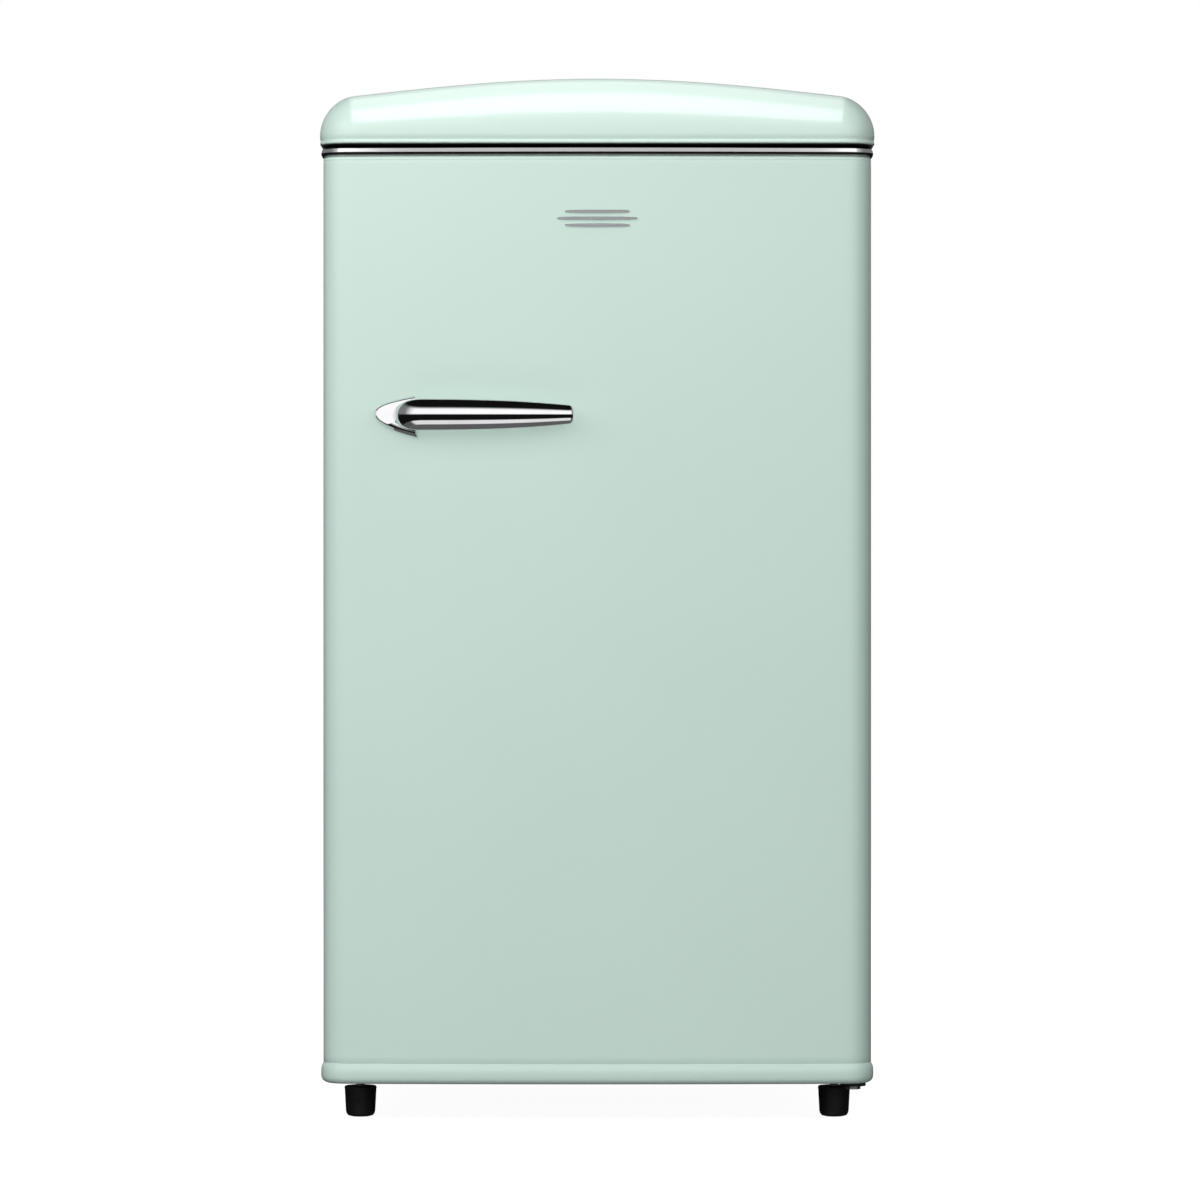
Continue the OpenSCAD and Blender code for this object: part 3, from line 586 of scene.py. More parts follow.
def top_cap():
    """Moulded cap: crowned pillow, soft shoulders, a crease and a rolled lip above the gap."""
    lip = [(-2.6, 0.0), (-1.0, 0.2), (-0.3, 0.6), (-0.05, 1.1), (0.0, 1.5), (-0.25, 2.5), (-0.5, 3.4),
           (-0.56, 3.9), (-0.46, 4.6), (-0.16, 5.8), (0.0, 7.0)]
    under = [(-4.6, 0.2), (-4.9, 1.6), (-3.4, 4.0)]
    rings = [in_xy(cap_plan(g * MM), CAP_RIM + h * MM) for g, h in reversed(under)]
    rings += [in_xy(cap_plan(g * MM), CAP_RIM + h * MM) for g, h in lip]
    inner = list(reversed(cap_crown_rings(CAP_WALL)))
    obj = Build().add(inner + rings + cap_crown_rings(0)).make("top_cap_moulding", 60)
    return put(obj, "cabinet", "mint_plastic", MAT["mint_plastic"], "top_cap")


# ---- door ----


def door_sheet(grow, thick):
    """Plan of the door's folded sheet: outside line one way, inside line back."""
    lip = 12 * MM

    def line(g):
        half, back, r = DOOR_HALF + g, DOOR_BACK + min(g, 0.0), 3 * MM
        right = [(DOOR_HALF - lip, back)] + arc(half - r, back - r, r, 90, 0, 5)
        left = arc(-half + r, back - r, r, 180, 90, 5) + [(-DOOR_HALF + lip, back)]
        return right + door_front_line(g) + left

    return line(grow) + list(reversed(line(grow - thick)))


def door_skin():
    """Bowed steel skin with folded back edges, and a rolled edge under the trim."""
    z0, z1 = SKIN_LO.z, SKIN_HI.z
    rows = [(-0.5, z0), (0.0, z0 + 0.8 * MM), (0.0, z0 + 6 * MM), (0.0, z1 - 7 * MM),
            (0.0, z1 - 5.0 * MM), (-0.2, z1 - 3.8 * MM), (-0.16, z1 - 3.3 * MM), (0.02, z1 - 2.7 * MM),
            (-0.04, z1 - 2.2 * MM), (-0.5, z1 - 0.9 * MM), (-1.1, z1)]
    rings = [in_xy(door_sheet(g * MM, 1.2 * MM), z) for g, z in rows]
    obj = Build().add(rings, ends="ribbon").make("door_skin_sheet", 50)
    return put(obj, "door", "mint_paint", MAT["mint_paint"], "door_skin")


def door_bottom_bead():
    """Moulded bottom of the door: a soft bead that flares past the skin."""
    lo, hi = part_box("door_bottom_cap")
    rows = [(-1.3, hi.z), (-1.3, SKIN_LO.z + 0.1 * MM), (-0.1, SKIN_LO.z), (0.5, SKIN_LO.z - 0.9 * MM),
            (1.3, SKIN_LO.z - 2.6 * MM), (1.9, SKIN_LO.z - 5 * MM), (2.0, SKIN_LO.z - 8 * MM),
            (2.0, lo.z + 6.5 * MM), (1.6, lo.z + 4.4 * MM), (0.4, lo.z + 2.4 * MM), (-1.4, lo.z + 1 * MM),
            (-3.8, lo.z + 0.2 * MM), (-6.0, lo.z), (-9.0, lo.z), (-9.0, lo.z + 4 * MM)]
    obj = Build().add(door_rows(rows)).make("door_bottom_bead", 50)
    return put(obj, "door", "mint_plastic", MAT["mint_paint"], "door_bottom_cap")


def door_top_strip():
    """Chrome strip with two slopes that meet in a soft ridge, wrapped round the top of the door."""
    lo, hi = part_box("door_top_trim")
    z0, z1 = lo.z + 0.2 * MM, hi.z + 0.5 * MM
    ridge = z0 + 3.3 * MM
    rows = [(-3.0, z0), (0.0, z0), (0.9, z0 + 0.25 * MM), (1.5, z0 + 1.2 * MM), (1.94, ridge - 0.1 * MM),
            (1.94, ridge + 0.1 * MM), (1.06, z1 - 0.5 * MM), (0.6, z1 - 0.1 * MM), (-0.6, z1), (-3.0, z1)]
    obj = Build().add(door_rows(rows), wrap=True).make("door_top_strip", 12)
    return put(obj, "door", "chrome", MAT["chrome_strip"], "door_top_trim")


def door_liner():
    """Thermoformed inner panel with two drafted dykes and shallow pads between the racks."""
    lo, hi = PANEL_LO, PANEL_HI
    face = GASKET_LO.y
    mid_z, tall = (lo.z + hi.z) / 2, hi.z - lo.z
    build = Build()

    def pad(cx, cz, w, h, r, rows):
        build.add([in_xz(rounded_rect(cx, cz, w + 2 * g, h + 2 * g, r + g, 6), y) for g, y in rows])

    pad(0, mid_z, 2 * hi.x, tall, 12 * MM,
        [(-0.6 * MM, lo.y), (0, lo.y + 0.6 * MM), (0, face - 0.6 * MM), (-0.6 * MM, face)])
    dyke_rows = [(0, face - 1 * MM), (-0.2 * MM, face + 0.2 * MM), (-2.4 * MM, face + 1.2 * MM),
                 (-3.4 * MM, face + 4 * MM), (-4.6 * MM, hi.y - 4 * MM), (-5.3 * MM, hi.y - 1.4 * MM),
                 (-6.8 * MM, hi.y - 0.3 * MM), (-8 * MM, hi.y)]
    racks = [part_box(name) for name in ("rack_bottom", "rack_middle", "rack_top")]
    dyke_w, dyke_h, rack_half = 20 * MM, LINER_HI.z - LINER_LO.z - 24 * MM, racks[0][1].x
    for side in (-1, 1):
        dyke_x = side * (rack_half + 0.6 * MM + dyke_w / 2)
        pad(dyke_x, (LINER_LO.z + LINER_HI.z) / 2, dyke_w, dyke_h, 9.9 * MM, dyke_rows)
    pad_rows = [(0, face - 0.5 * MM), (-1 * MM, face + 0.6 * MM), (-3 * MM, face + 1.8 * MM),
                (-5 * MM, face + 2.2 * MM)]
    starts = [rack_hi.z + 10 * MM for _, rack_hi in racks]
    ends = [rack_lo.z - 10 * MM for rack_lo, _ in racks[1:]] + [LINER_HI.z - 23 * MM]
    for z0, z1 in zip(starts, ends):
        pad(0, (z0 + z1) / 2, 2 * rack_half - 14 * MM, z1 - z0, 16 * MM, pad_rows)
    return put(build.make("door_liner_panel", 40), "door", "white_plastic", MAT["white_abs"], "door_liner")


def door_gasket():
    """Magnetic gasket: a broad foot, a folded bellows and a square bulb that meets the cabinet.

    Its section is in millimetres: in from the outer edge, and back from the door."""
    lo, hi = GASKET_LO, GASKET_HI
    section = [(0.0, 0.0), (0.3, 2.2), (2.6, 3.2), (1.0, 5.0), (0.9, 9.0), (1.6, 11.4), (3.2, 12.0),
               (13.6, 12.0), (15.4, 11.4), (16.0, 9.0), (15.8, 5.0), (14.2, 3.2), (16.7, 2.2), (17.0, 0.0)]
    mid, w, h = (lo.z + hi.z) / 2, 2 * hi.x, hi.z - lo.z
    rings = [
        in_xz(rounded_rect(0, mid, w - 2 * u * MM, h - 2 * u * MM, (19 - u) * MM, 8), lo.y + d * MM)
        for u, d in section
    ]
    obj = Build().add(rings, wrap=True).make("door_gasket_bellows", 40)
    return put(obj, "door", "gasket_vinyl", MAT["gasket_vinyl"], "door_gasket")


def door_racks():
    """Three clear racks with drafted walls, rolled rims and a retaining rail."""
    for name in ("rack_top", "rack_middle", "rack_bottom"):
        lo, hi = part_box(name)
        build = Build().add(tub_rings(lo, hi, 2.2 * MM, 14 * MM, 3 * MM, 1.4 * MM))
        for z in (lo.z + 0.42 * (hi.z - lo.z), lo.z + 0.58 * (hi.z - lo.z)):
            build.add(soft_box((lo.x + 30 * MM, hi.y - 2.6 * MM, z - 1.2 * MM),
                               (hi.x - 30 * MM, hi.y - 0.9 * MM, z + 1.2 * MM), 0.5 * MM))
        put(build.make(name + "_moulding", 40), "door", "clear_plastic", MAT["clear_plastic"], name)


# ---- handle and badge ----

GRIP_LO, GRIP_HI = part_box("handle_grip")
HANDLE_Z = (GRIP_LO.z + GRIP_HI.z) / 2
NOSE = 26 * MM
TIP = 4 * MM
FACE_ANGLE = math.radians(48)


def grip_section(half, front, back):
    """Section of the grip: a shallow arched face, tight edges and a flat back. Points are (y, z)."""
    edge = min(1.6 * MM, half * 0.3, (back - front) * 0.3)
    span = half - edge * (1 - math.sin(FACE_ANGLE))
    radius = span / math.sin(FACE_ANGLE)
    depth = min(radius * (1 - math.cos(FACE_ANGLE)), (back - front) * 0.5)
    face = []
    for i in range(13):
        a = FACE_ANGLE * i / 12
        face.append((front + depth * (1 - math.cos(a)) / (1 - math.cos(FACE_ANGLE)), radius * math.sin(a)))
    cy, cz = face[-1][0] + edge * math.cos(FACE_ANGLE), half - edge
    for i in range(1, 5):
        a = lerp(FACE_ANGLE, math.pi / 2, i / 4)
        face.append((cy - edge * math.cos(a), cz + edge * math.sin(a)))
    for i in range(5):
        a = math.pi / 2 * i / 4
        face.append((max(back - edge + edge * math.sin(a), cy), half - edge + edge * math.cos(a)))
    face.append((max(back, cy), (half - edge) * 0.4))
    return face + [(y, -z) for y, z in reversed(face[1:])]


def handle_grip():
    """Tapered chrome bar with a bullet nose that sweeps back to the door."""
    x0, x1 = GRIP_LO.x - 3.5 * MM, GRIP_HI.x
    root = DOOR_FRONT - 3 * MM
    bar_back = GRIP_LO.y + 18 * MM
    stops = [x0 + NOSE * (1 - math.cos(math.radians(a))) for a in (6, 14, 22, 30, 40, 50, 60, 70, 80, 90)]
    stops += [lerp(x0 + NOSE, x1 - TIP, i / 16) for i in range(1, 17)]
    stops += [x1 - TIP + TIP * math.sin(math.radians(a)) for a in (20, 40, 60, 75, 88)]
    rings = []
    for x in stops:
        t = min((x - x0) / NOSE, 1.0)
        swell = math.sqrt(max(1 - (1 - t) ** 2, 0.0))
        half = (13.8 - 5.9 * ((x - x0) / (x1 - x0)) ** 3) * MM * swell
        back = lerp(root, bar_back, smoothstep((x - x0 - 0.55 * NOSE) / (0.9 * NOSE)))
        front = root + (GRIP_LO.y - root) * swell
        past = max(x - (x1 - TIP), 0.0)
        tuck = TIP - math.sqrt(max(TIP ** 2 - past ** 2, 0.0))
        section = grip_section(half - tuck, front + tuck, back - tuck * 0.5)
        rings.append([Vector((x, y, HANDLE_Z + z)) for y, z in section])
    obj = Build().add(rings).make("handle_bar", 50)
    return put(obj, "door", "chrome", MAT["chrome"], "handle_grip")


def handle_base():
    """Boss under the grip's nose: a crescent whose flat polished face leans back at the top.

    Each outline, in millimetres, is the place of its tip and the reach of its upper and its lower horn."""
    outer = (-194.1, 2.2, 35.6, 15.7, 39.0, 23.2)
    face = (-192.0, 2.0, 34.0, 13.4, 34.0, 16.4)
    core = (-176.0, 0.5, 22.0, 7.0, 22.0, 8.0)
    lean = math.tan(math.radians(9.5))

    def outline(a, b, t):
        return [lerp(p, q, t) for p, q in zip(a, b)]

    rows = [(outer, -0.8, False), (outer, 0.4, False), (outline(outer, face, 0.3), 0.48, True),
            (outline(outer, face, 0.8), 0.93, True), (outline(face, core, 0.03), 1.0, True),
            (core, 1.0, True)]
    steps = 40
    rings = []
    for (tip, tip_z, up_x, up_z, low_x, low_z), proud, sloped in rows:
        ring = []
        for i in range(steps + 1):
            t = -1 + 2 * i / steps
            reach_x, reach_z = (up_x, up_z) if t > 0 else (low_x, low_z)
            x, z = (tip + reach_x * abs(t) ** 2.3) * MM, (tip_z + reach_z * t) * MM
            y = DOOR_FRONT - 6.2 * MM * proud + z * lean if sloped else door_front_at(x) - proud * MM
            ring.append(Vector((x, y, HANDLE_Z + z)))
        rings.append(ring)
    obj = Build().add(rings).make("handle_boss", 24)
    return put(obj, "door", "chrome", MAT["chrome"], "handle_base")


def badge():
    """Three slim streamline bars that follow the door's bow."""
    lo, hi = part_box("badge")
    build = Build()
    for i in (-1, 0, 1):
        half = hi.x - 7 * MM * abs(i)
        z = (lo.z + hi.z) / 2 + i * 6 * MM
        rings = []
        for k in range(25):
            a = math.pi * k / 24
            x = -half * math.cos(a)
            size = max(math.sin(a), 0.02) ** 0.35
            face = door_front_at(x) - 0.2 * MM
            section = [(math.cos(b), math.sin(b)) for b in (math.tau * j / 12 for j in range(12))]
            rings.append([
                Vector((x, face - 2 * MM * size * max(c, -0.1), z + 1.5 * MM * size * s)) for c, s in section
            ])
        build.add(rings)
    return put(build.make("badge_bars", 50), "door", "chrome", MAT["chrome"], "badge")


# ---- inside ----


def liner():
    """Thermoformed cabinet liner: round corners, the step over the machine space, shelf ledges."""
    inner_half = LINER_HI.x - 5 * MM
    floor_z, ceiling_z = LINER_LO.z + 5 * MM, LINER_HI.z - 5 * MM
    front, back = LINER_LO.y, LINER_HI.y - 2 * MM
    step_y, step_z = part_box("crisper_drawer")[1].y + 5 * MM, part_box("crisper_cover")[0].z + 8 * MM

    def ring(y, low, grow, r):
        tall = ceiling_z - low + 2 * grow
        return in_xz(rounded_rect(0, (ceiling_z + low) / 2, 2 * (inner_half + grow), tall, r, 7), y)

    quarter = [(math.cos(math.radians(a)), math.sin(math.radians(a))) for a in range(0, 91, 15)]

    def surface(t):
        """Rings from the opening to the back, t outside the inner face."""
        floor_r, edge_r, back_r = 14 * MM + t, 5 * MM - t, 16 * MM + t
        y_wall, y_end = step_y + t, back + t
        rows = [(y_wall - floor_r * (1 - s), floor_z + floor_r * (1 - c), 0) for c, s in quarter]
        rows += [(y_wall + edge_r * (1 - c), step_z - edge_r * (1 - s), 0) for c, s in quarter]
        rows += [(y_end - back_r * (1 - s), step_z, -back_r * (1 - c)) for c, s in quarter]
        return [ring(y, low, t + tuck, max(16 * MM + t + tuck, 1 * MM)) for y, low, tuck in rows]

    # The mouth's flange, in millimetres: back from the front, out from the wall, and corner radius.
    # Its outer corners are nearly square, like the opening of the steel shell that they cover.
    mouth = [(1.5, 0.0, 16), (0.4, 0.5, 16.5), (0, 1.6, 17.6), (0, 4.7, 1.2),
             (0.3, 5.0, 1.2), (1.6, 5.0, 1.2), (2, 4.4, 1.2), (2, 2.0, 18)]
    lip = [ring(front + y * MM, floor_z, g * MM, r * MM) for y, g, r in mouth]
    build = Build().add(list(reversed(surface(0))) + lip + surface(2 * MM))
    shelf_lo, shelf_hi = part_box("shelf_glass")
    cover_lo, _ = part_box("crisper_cover")
    glass = 4 * MM
    levels = [(z, shelf_lo.y - 8 * MM, back - 2 * MM) for z in (shelf_lo.z, shelf_hi.z - glass)]
    levels.append((step_z, cover_lo.y + 4 * MM, step_y - 5 * MM))
    for z, y0, y1 in levels:
        for side in (-1, 1):
            x0, x1 = sorted((side * (inner_half - 10 * MM), side * (inner_half + 1 * MM)))
            build.add(soft_box((x0, y0, z - 6 * MM), (x1, y1, z), 1.6 * MM))
    return put(build.make("liner_moulding", 40), "cabinet", "white_plastic", MAT["white_abs"], "liner")


def drip_tray():
    """Shallow tray with a thick front lip and four ribs on its floor."""
    lo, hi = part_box("drip_tray")
    tub = tub_rings((lo.x + 3 * MM, lo.y + 4 * MM, lo.z + 3 * MM), (hi.x - 3 * MM, hi.y, hi.z - 3 * MM),
                    2 * MM, 10 * MM, 3 * MM, 1 * MM)
    build = Build().add(tub).add(soft_box(lo, (hi.x, lo.y + 5 * MM, hi.z), 2 * MM))
    for x in (-60, -20, 20, 60):
        build.add(soft_box(((x - 1) * MM, lo.y + 20 * MM, lo.z + 4.6 * MM),
                           ((x + 1) * MM, hi.y - 20 * MM, lo.z + 6 * MM), 0.6 * MM))
    obj = build.make("drip_tray_moulding", 40)
    return put(obj, "drip_tray", "clear_plastic", MAT["clear_plastic"], "drip_tray")


def crisper():
    """Salad drawer: drafted tub and a front with a dropped grip edge."""
    lo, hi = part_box("crisper_drawer")
    tub = tub_rings((lo.x + 4 * MM, lo.y + 5 * MM, lo.z), (hi.x - 4 * MM, hi.y, hi.z - 3 * MM),
                    2.5 * MM, 14 * MM, 4 * MM, 1.6 * MM)
    dip, half_dip, dip_r = hi.z - 16 * MM, 60 * MM, 8 * MM
    z0, corner = lo.z + 2 * MM, 5 * MM
    turns = [
        (hi.x - corner, z0 + corner, corner, -90, 0), (hi.x - corner, hi.z - corner, corner, 0, 90),
        (half_dip + dip_r, hi.z - dip_r, dip_r, 90, 180), (half_dip - dip_r, dip + dip_r, dip_r, 0, -90),
        (dip_r - half_dip, dip + dip_r, dip_r, -90, -180), (-half_dip - dip_r, hi.z - dip_r, dip_r, 0, 90),
        (lo.x + corner, hi.z - corner, corner, 90, 180), (lo.x + corner, z0 + corner, corner, 180, 270),
    ]
    outline = [point for turn in turns for point in arc(*turn, 4)]
    front = [in_xz(outline, y) for y in (lo.y, lo.y + 6 * MM)]
    obj = Build().add(tub).add(front).make("crisper_moulding", 40)
    bevel(obj, 1.2 * MM, 2, 60)
    return put(obj, "crisper", "clear_plastic", MAT["clear_plastic"], "crisper_drawer")


def thermostat():
    """Housing with soft corners, a ribbed knob with a pointer, and tick marks that grow round the dial."""
    lo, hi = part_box("thermostat_housing")
    knob_lo, knob_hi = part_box("thermostat_knob")
    cy, cz = (knob_lo.y + knob_hi.y) / 2, (knob_lo.z + knob_hi.z) / 2
    mid_y, mid_z, w, h = (lo.y + hi.y) / 2, (lo.z + hi.z) / 2, hi.y - lo.y, hi.z - lo.z
    rows = [(0, hi.x), (-0.4, hi.x - 6 * MM), (-1.6, lo.x + 4 * MM), (-2.4, lo.x + 1.6 * MM),
            (-4.2, lo.x + 0.3 * MM), (-6, lo.x)]
    rings = [
        in_yz(rounded_rect(mid_y, mid_z, w + 2 * g * MM, h + 2 * g * MM, (9 + g) * MM, 6), x) for g, x in rows
    ]
    case = Build().add(rings).make("thermostat_case", 40)
    put(case, "cabinet", "white_plastic", MAT["white_abs"], "thermostat_housing")

    ticks = Build()
    for i in range(7):
        a = math.radians(-60 + 50 * i)
        d, n = Vector((0, math.sin(a), math.cos(a))), Vector((0, math.cos(a), -math.sin(a)))
        near = Vector((0, cy, cz)) + d * 18.4 * MM
        far = near + d * (1.4 + 0.25 * i) * MM
        wide = n * 0.35 * MM
        corners = [near + wide, near - wide, far - wide, far + wide]
        ticks.add([[c + Vector((x, 0, 0)) for c in corners] for x in (lo.x + 0.4 * MM, lo.x - 0.25 * MM)])
    put(ticks.make("thermostat_ticks"), "cabinet", "black_plastic", MAT["black_plastic"])

    face, rim = knob_lo.x + 6 * MM, knob_lo.x + 13.2 * MM
    knob = Build()
    rings = []
    for radius, x in [(2, face), (14.2, face), (15.4, face + 0.5 * MM), (16.1, face + 1.6 * MM),
                      (16.5, rim - 0.6 * MM), (16.2, rim), (3, rim), (3, knob_hi.x)]:
        ribs = 0.4 if radius > 15 else 0.0
        rings.append([
            Vector((x, cy + (radius + ribs * math.cos(36 * a)) * MM * math.sin(a),
                    cz + (radius + ribs * math.cos(36 * a)) * MM * math.cos(a)))
            for a in (math.tau * k / 144 for k in range(144))
        ])
    knob.add(rings)
    bar = [(0.8, face + 0.5 * MM), (0, knob_lo.x + 1.2 * MM), (-0.8, knob_lo.x + 0.3 * MM), (-2, knob_lo.x)]
    knob.add([in_yz(rounded_rect(cy, cz, (6 + g) * MM, (29 + g) * MM, 2.4 * MM, 5), x) for g, x in bar])
    put(knob.make("thermostat_dial", 40), "dial", "white_plastic", MAT["white_abs"], "thermostat_knob")


# ---- feet and small hardware ----


def foot_pad(cx, cy, top):
    """Rings of a moulded foot, turned about its axis."""
    lo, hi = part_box("foot_left")
    radius = (hi.x - lo.x) / 2
    profile = [(0.1 * MM, 0), (radius - 6.4 * MM, 0), (radius - 3.4 * MM, 0.8 * MM),
               (radius - 1.9 * MM, 2.6 * MM), (radius - 1.3 * MM, 5.0 * MM),
               (radius - 0.3 * MM, top - 3 * MM), (radius, top - 1.6 * MM),
               (radius - 0.5 * MM, top - 0.3 * MM), (radius - 1.5 * MM, top), (0.1 * MM, top)]
    return lathe_rings(profile, cx, cy, 56)


def thread(cx, cy, r, z0, z1):
    """Rings of a stud whose thread is drawn as one ridge to each pitch."""
    pitch, root, crest = 1.25 * MM, r - 0.5 * MM, r - 0.03 * MM
    profile = [(0.1 * MM, z0), (root, z0)]
    for i in range(int((z1 - z0) / pitch)):
        profile += [(root, z0 + (i + 0.15) * pitch), (crest, z0 + (i + 0.5) * pitch),
                    (root, z0 + (i + 0.85) * pitch)]
    return lathe_rings(profile + [(root, z1), (0.1 * MM, z1)], cx, cy, 24)


def feet():
    """Two levelling feet, each a pad on a stud of its own, and two moulded feet at the back."""
    top = SHELL_LO.z - 5 * MM
    for name in ("foot_left", "foot_right"):
        lo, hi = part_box(name)
        cx, cy = (lo.x + hi.x) / 2, (lo.y + hi.y) / 2
        pad = Build().add(foot_pad(cx, cy, top)).make(name + "_pad", 50)
        put(pad, name, "rubber", MAT["foot_rubber"], name)
        stud = Build().add(thread(cx, cy, 4 * MM, top - 1 * MM, hi.z)).make(name + "_stud", 50)
        put(stud, name, "zinc", MAT["zinc_hardware"])
    lo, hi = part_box("rear_feet")
    build = Build()
    for side in (-1, 1):
        cx, cy = side * (hi.x - (hi.y - lo.y) / 2), (lo.y + hi.y) / 2
        build.add(foot_pad(cx, cy, top))
        build.add(lathe_rings([(0.1 * MM, top - 1 * MM), (10 * MM, top - 1 * MM), (10 * MM, SHELL_LO.z),
                               (3 * MM, SHELL_LO.z), (3 * MM, hi.z), (0.1 * MM, hi.z)], cx, cy, 32))
    put(build.make("rear_feet_mouldings", 50), "cabinet", "rubber", MAT["foot_rubber"], "rear_feet")


# ---- carried-over CAD parts ----

CRISP = 28


def carry(material, names, width=0.0):
    """CAD nodes that keep their shape: a material, smooth shading and edges softened by `width`."""
    for name in names:
        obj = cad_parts[name]
        mesh = obj.data
        if "custom_normal" in mesh.attributes:
            mesh.attributes.remove(mesh.attributes["custom_normal"])
        mesh.shade_smooth()
        mesh.set_sharp_from_angle(angle=math.radians(CRISP))
        dress(obj, MAT[material])
        if width:
            weld = obj.modifiers.new("weld", "WELD")
            weld.merge_threshold = 1e-6
            planar = obj.modifiers.new("planar", "DECIMATE")
            planar.decimate_type = "DISSOLVE"
            planar.angle_limit = math.radians(0.5)
            bevel(obj, width, 2, CRISP)


def carried_parts():
    carry("mint_paint", ["cabinet_shell"], 0.45 * MM)
    carry("galvanised", ["rear_panel", "base_pan", "front_base_rail", "hump_plate"], 0.3 * MM)
    carry("black_plastic", ["cap_base", "door_top_cap", "terminal_cover", "drain_pan", "cord_gland"],
          0.8 * MM)
    carry("black_plastic", ["condenser_brackets"], 2 * MM)
    carry("zinc_hardware", ["cap_screws", "rear_screws", "hinge_screws", "compressor_bolts", "foot_nuts",
                            "hinge_pins"], 0.5 * MM)
    carry("black_enamel", ["upper_hinge_bracket", "lower_hinge_bracket", "compressor_plate"], 0.8 * MM)
    carry("black_enamel", ["compressor", "condenser_tube", "condenser_wires"])
    carry("foot_rubber", ["compressor_grommets"], 0.8 * MM)
    carry("copper_tube", ["suction_tube", "discharge_tube", "filter_drier", "capillary_tube"])
    carry("foam_core", ["cabinet_insulation", "door_insulation"])
    carry("rolled_aluminium", ["evaporator"], 0.4 * MM)
    carry("white_abs", ["ice_box_frame", "tray_rails", "shelf_trims"], 0.8 * MM)
    carry("white_abs", ["evaporator_hangers", "hinge_bushes", "drain_tube"], 0.3 * MM)
    carry("frosted_plastic", ["ice_box_door"], 0.9 * MM)
    carry("shelf_glass", ["shelf_glass", "crisper_cover"], 0.7 * MM)


top_cap_piece = top_cap()
door_skin()
door_bottom_bead()
strip_piece = door_top_strip()
door_liner()
door_gasket()
door_racks()
grip_piece = handle_grip()
boss_piece = handle_base()
badge()
liner()
drip_tray()
crisper()
thermostat()
feet()
carried_parts()


# ---- studio ----

WHITE = (1.0, 1.0, 1.0, 1.0)
FLOOR_HALF = 9.0
FLOOR_GLOW = 0.93
UNDERSIDE = 0.12
DARKNESS = 0.006
CAMERA_PLACE = (0.0024, DOOR_FRONT - 5.0, 0.4555)
SENSOR_WIDTH, FOCAL_LENGTH = 36.0, 172.8


def studio_floor():
    """Plain pale floor that glows a little and adds nothing to reflections or bounced light."""
    half = FLOOR_HALF
    verts = [(-half, -half, 0), (half, -half, 0), (half, half, 0), (-half, half, 0)]
    floor = mesh_object("studio_floor", verts, [(0, 1, 2, 3)])
    surface = Surface("studio_floor", srgb(150, 151, 151), 0.7)
    surface.tint(surface.noise(1.2, 2.0), 0.99, 1.0)
    surface.shader.inputs["Emission Color"].default_value = WHITE
    surface.shader.inputs["Emission Strength"].default_value = FLOOR_GLOW
    floor.data.materials.append(surface.mat)
    floor.visible_diffuse = False
    floor.visible_glossy = False


class WorldMaths:
    """Small helpers for the world's node tree."""

    def __init__(self):
        world = bpy.data.worlds.new("studio")
        bpy.context.scene.world = world
        world.use_nodes = True
        self.nodes = world.node_tree.nodes
        self.links = world.node_tree.links
        self.background = self.nodes["Background"]
        self.output = self.nodes["World Output"]
        coords = self.nodes.new("ShaderNodeTexCoord")
        split = self.nodes.new("ShaderNodeSeparateXYZ")
        self.links.new(coords.outputs["Generated"], split.inputs["Vector"])
        self.x, self.y, self.z = split.outputs

    def ease(self, value, start, end, low=0.0, high=1.0):
        """A smooth step from low to high as value goes from start to end."""
        node = mapped(self, start, end, low, high)
        node.interpolation_type = "SMOOTHSTEP"
        self.links.new(value, node.inputs["Value"])
        return node.outputs["Result"]

    def maths(self, operation, a, b):
        node = self.nodes.new("ShaderNodeMath")
        node.operation = operation
        for socket, value in zip(node.inputs, (a, b)):
            if isinstance(value, float):
                socket.default_value = value
            else:
                self.links.new(value, socket)
        return node.outputs["Value"]

    def total(self, *values):
        out = values[0]
        for value in values[1:]:
            out = self.maths("ADD", out, value)
        return out

    def product(self, *values):
        out = values[0]
        for value in values[1:]:
            out = self.maths("MULTIPLY", out, value)
        return out


def studio_world():
    """White to the camera and through clear plastic.

    To everything else it is a dark room: a bright ring above eye level and a pale floor, both brightest
    in front. Bands are given by their elevation in degrees, from where they begin to where they are full."""
    w = WorldMaths()

    def band(empty, full):
        return w.ease(w.z, math.sin(math.radians(empty)), math.sin(math.radians(full)))

    ring = w.product(band(0, 7), band(47, 29))
    pale = w.product(band(-29, -33), band(-57, -52))
    total = w.total(
        w.product(ring, w.ease(w.y, -0.05, -0.85, 0.22, 1.2)),
        w.product(pale, w.ease(w.y, -0.35, -0.6, 0.1, 0.9)),
        w.product(band(-50, -56), UNDERSIDE),
        DARKNESS,
    )
    w.links.new(total, w.background.inputs["Strength"])
    white = w.nodes.new("ShaderNodeBackground")
    white.inputs["Color"].default_value = WHITE
    white.inputs["Strength"].default_value = 1.0
    w.background.inputs["Color"].default_value = WHITE
    path = w.nodes.new("ShaderNodeLightPath")
    mix = w.nodes.new("ShaderNodeMixShader")
    seen = w.maths("MAXIMUM", path.outputs["Is Camera Ray"], path.outputs["Is Transmission Ray"])
    w.links.new(seen, mix.inputs["Fac"])
    w.links.new(w.background.outputs["Background"], mix.inputs[1])
    w.links.new(white.outputs["Background"], mix.inputs[2])
    w.links.new(mix.outputs["Shader"], w.output.inputs["Surface"])


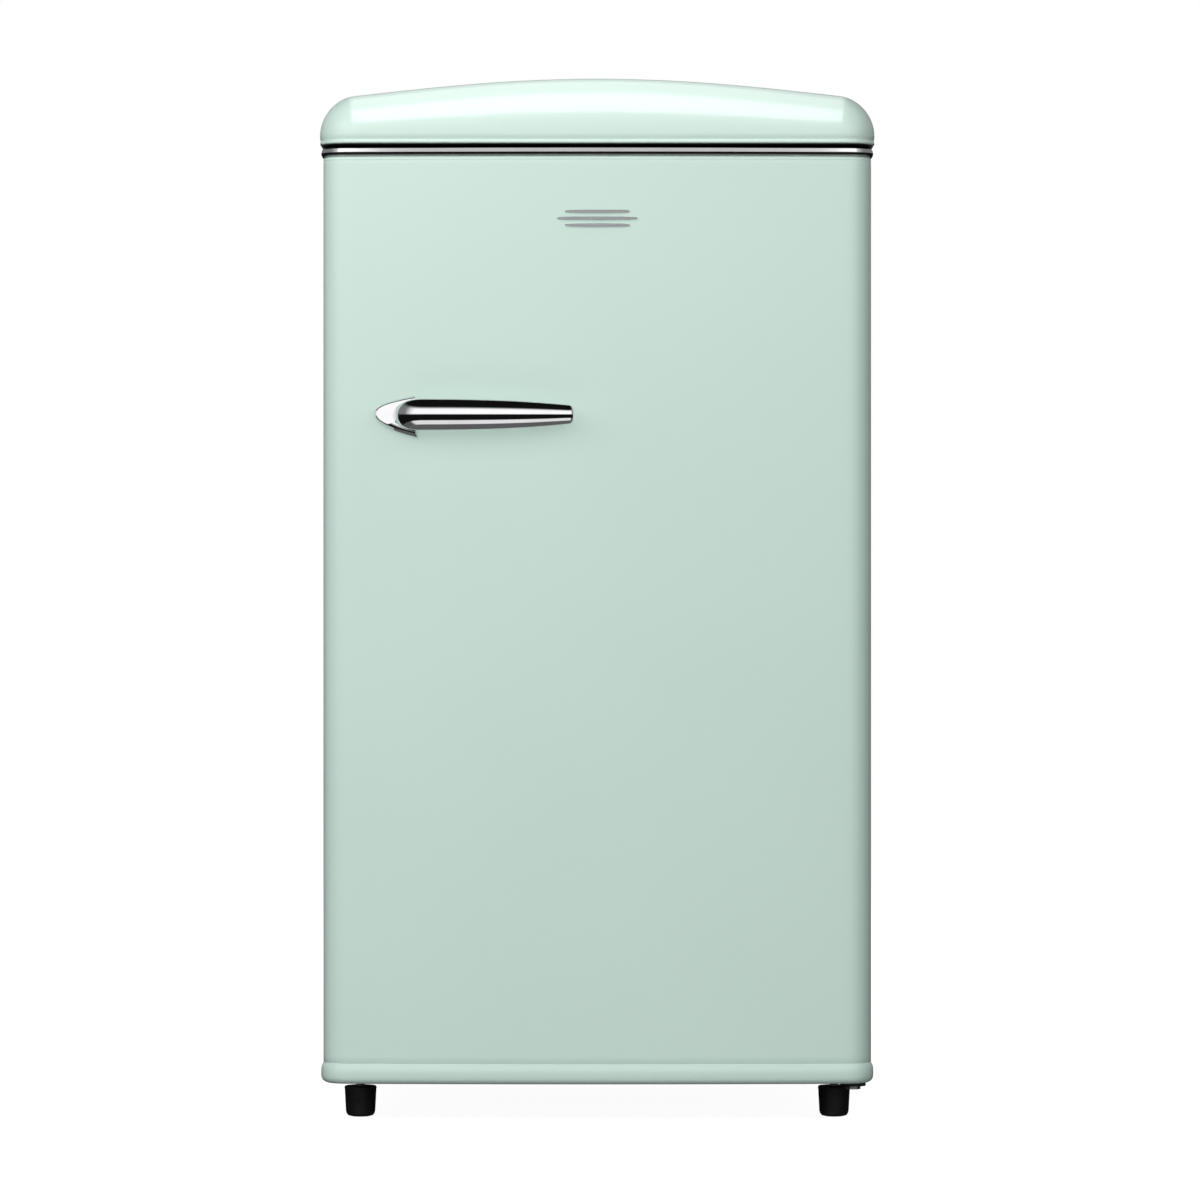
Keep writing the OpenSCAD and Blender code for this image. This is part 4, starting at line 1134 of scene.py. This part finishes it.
def area_light(name, place, aim, size, power, **visible):
    """A rectangular lamp. `visible` turns off kinds of ray, such as glossy=False."""
    data = bpy.data.lights.new(name, "AREA")
    data.shape = "RECTANGLE"
    data.size, data.size_y = size
    data.energy = power
    light = bpy.data.objects.new(name, data)
    bpy.context.scene.collection.objects.link(light)
    light.location = place
    light.rotation_euler = (Vector(aim) - Vector(place)).to_track_quat("-Z", "Y").to_euler()
    for key, value in visible.items():
        setattr(light, "visible_" + key, value)
    return light


def light_only(piece, *lights):
    """Keeps lights off everything but one piece."""
    receivers = bpy.data.collections.new(piece.name + "_receivers")
    receivers.objects.link(piece)
    for light in lights:
        light.light_linking.receiver_collection = receivers


def studio_lights():
    """Soft boxes, a wide highlight for the cap alone and a glint at each end of the chrome strip."""
    key = area_light("key", (-1.0, -1.95, 2.0), (0.0, -0.2, 0.5), (2.4, 2.2), 49, glossy=False)
    area_light("front_fill", (-0.2, -4.2, 0.6), (0.0, -0.2, 0.5), (2.6, 2.0), 17, glossy=False)
    area_light("right_fill", (2.3, -0.7, 3.0), (0.0, 0.0, 0.7), (1.4, 1.4), 13, glossy=False)
    area_light("back_left", (-1.6, 2.6, 1.9), (0.0, 0.2, 0.4), (1.6, 1.6), 40, glossy=False)
    area_light("back_right", (1.9, 2.6, 1.2), (0.0, 0.2, 0.4), (1.4, 1.8), 22, glossy=False)
    glow = area_light("cap_glow", (0.0, -2.2, 3.0), (0.0, -2.2, 0.0), (1.4, 2.4), 54, diffuse=False)
    fade = area_light("cap_fade", (0.0, 0.0, 3.0), (0.0, 0.0, 0.0), (1.45, 2.0), 21, diffuse=False)
    sheen = area_light("cap_sheen", (0.0, 2.0, 3.0), (0.0, 2.0, 0.0), (1.6, 2.0), 9, diffuse=False)
    light_only(top_cap_piece, glow, fade, sheen)
    _, strip_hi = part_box("door_top_trim")
    for name, side, power in (("glint_left", -1, 2.5), ("glint_right", 1, 2.0)):
        aim = Vector((side * (DOOR_HALF - DOOR_CORNER), DOOR_FRONT, strip_hi.z))
        place = aim + Vector((side * 0.8, -1.38, 1.2))
        light_only(strip_piece, area_light(name, place, aim, (1.2, 0.8), power, diffuse=False))
    # The key casts no shadow of the handle, so that only the fills' soft shadow is left.
    shadowless = bpy.data.collections.new("key_shadow_exceptions")
    for piece in (grip_piece, boss_piece):
        shadowless.objects.link(piece)
    for member in shadowless.collection_objects:
        member.light_linking.link_state = "EXCLUDE"
    key.light_linking.blocker_collection = shadowless


def camera():
    """A long lens, level, from the middle of the fridge's height."""
    data = bpy.data.cameras.new("camera")
    data.sensor_width = SENSOR_WIDTH
    data.lens = FOCAL_LENGTH
    cam = bpy.data.objects.new("camera", data)
    bpy.context.scene.collection.objects.link(cam)
    cam.location = CAMERA_PLACE
    cam.rotation_euler = (math.radians(90), 0, 0)
    bpy.context.scene.camera = cam


studio_floor()
studio_world()
studio_lights()
camera()
bpy.context.scene.view_settings.view_transform = "Standard"
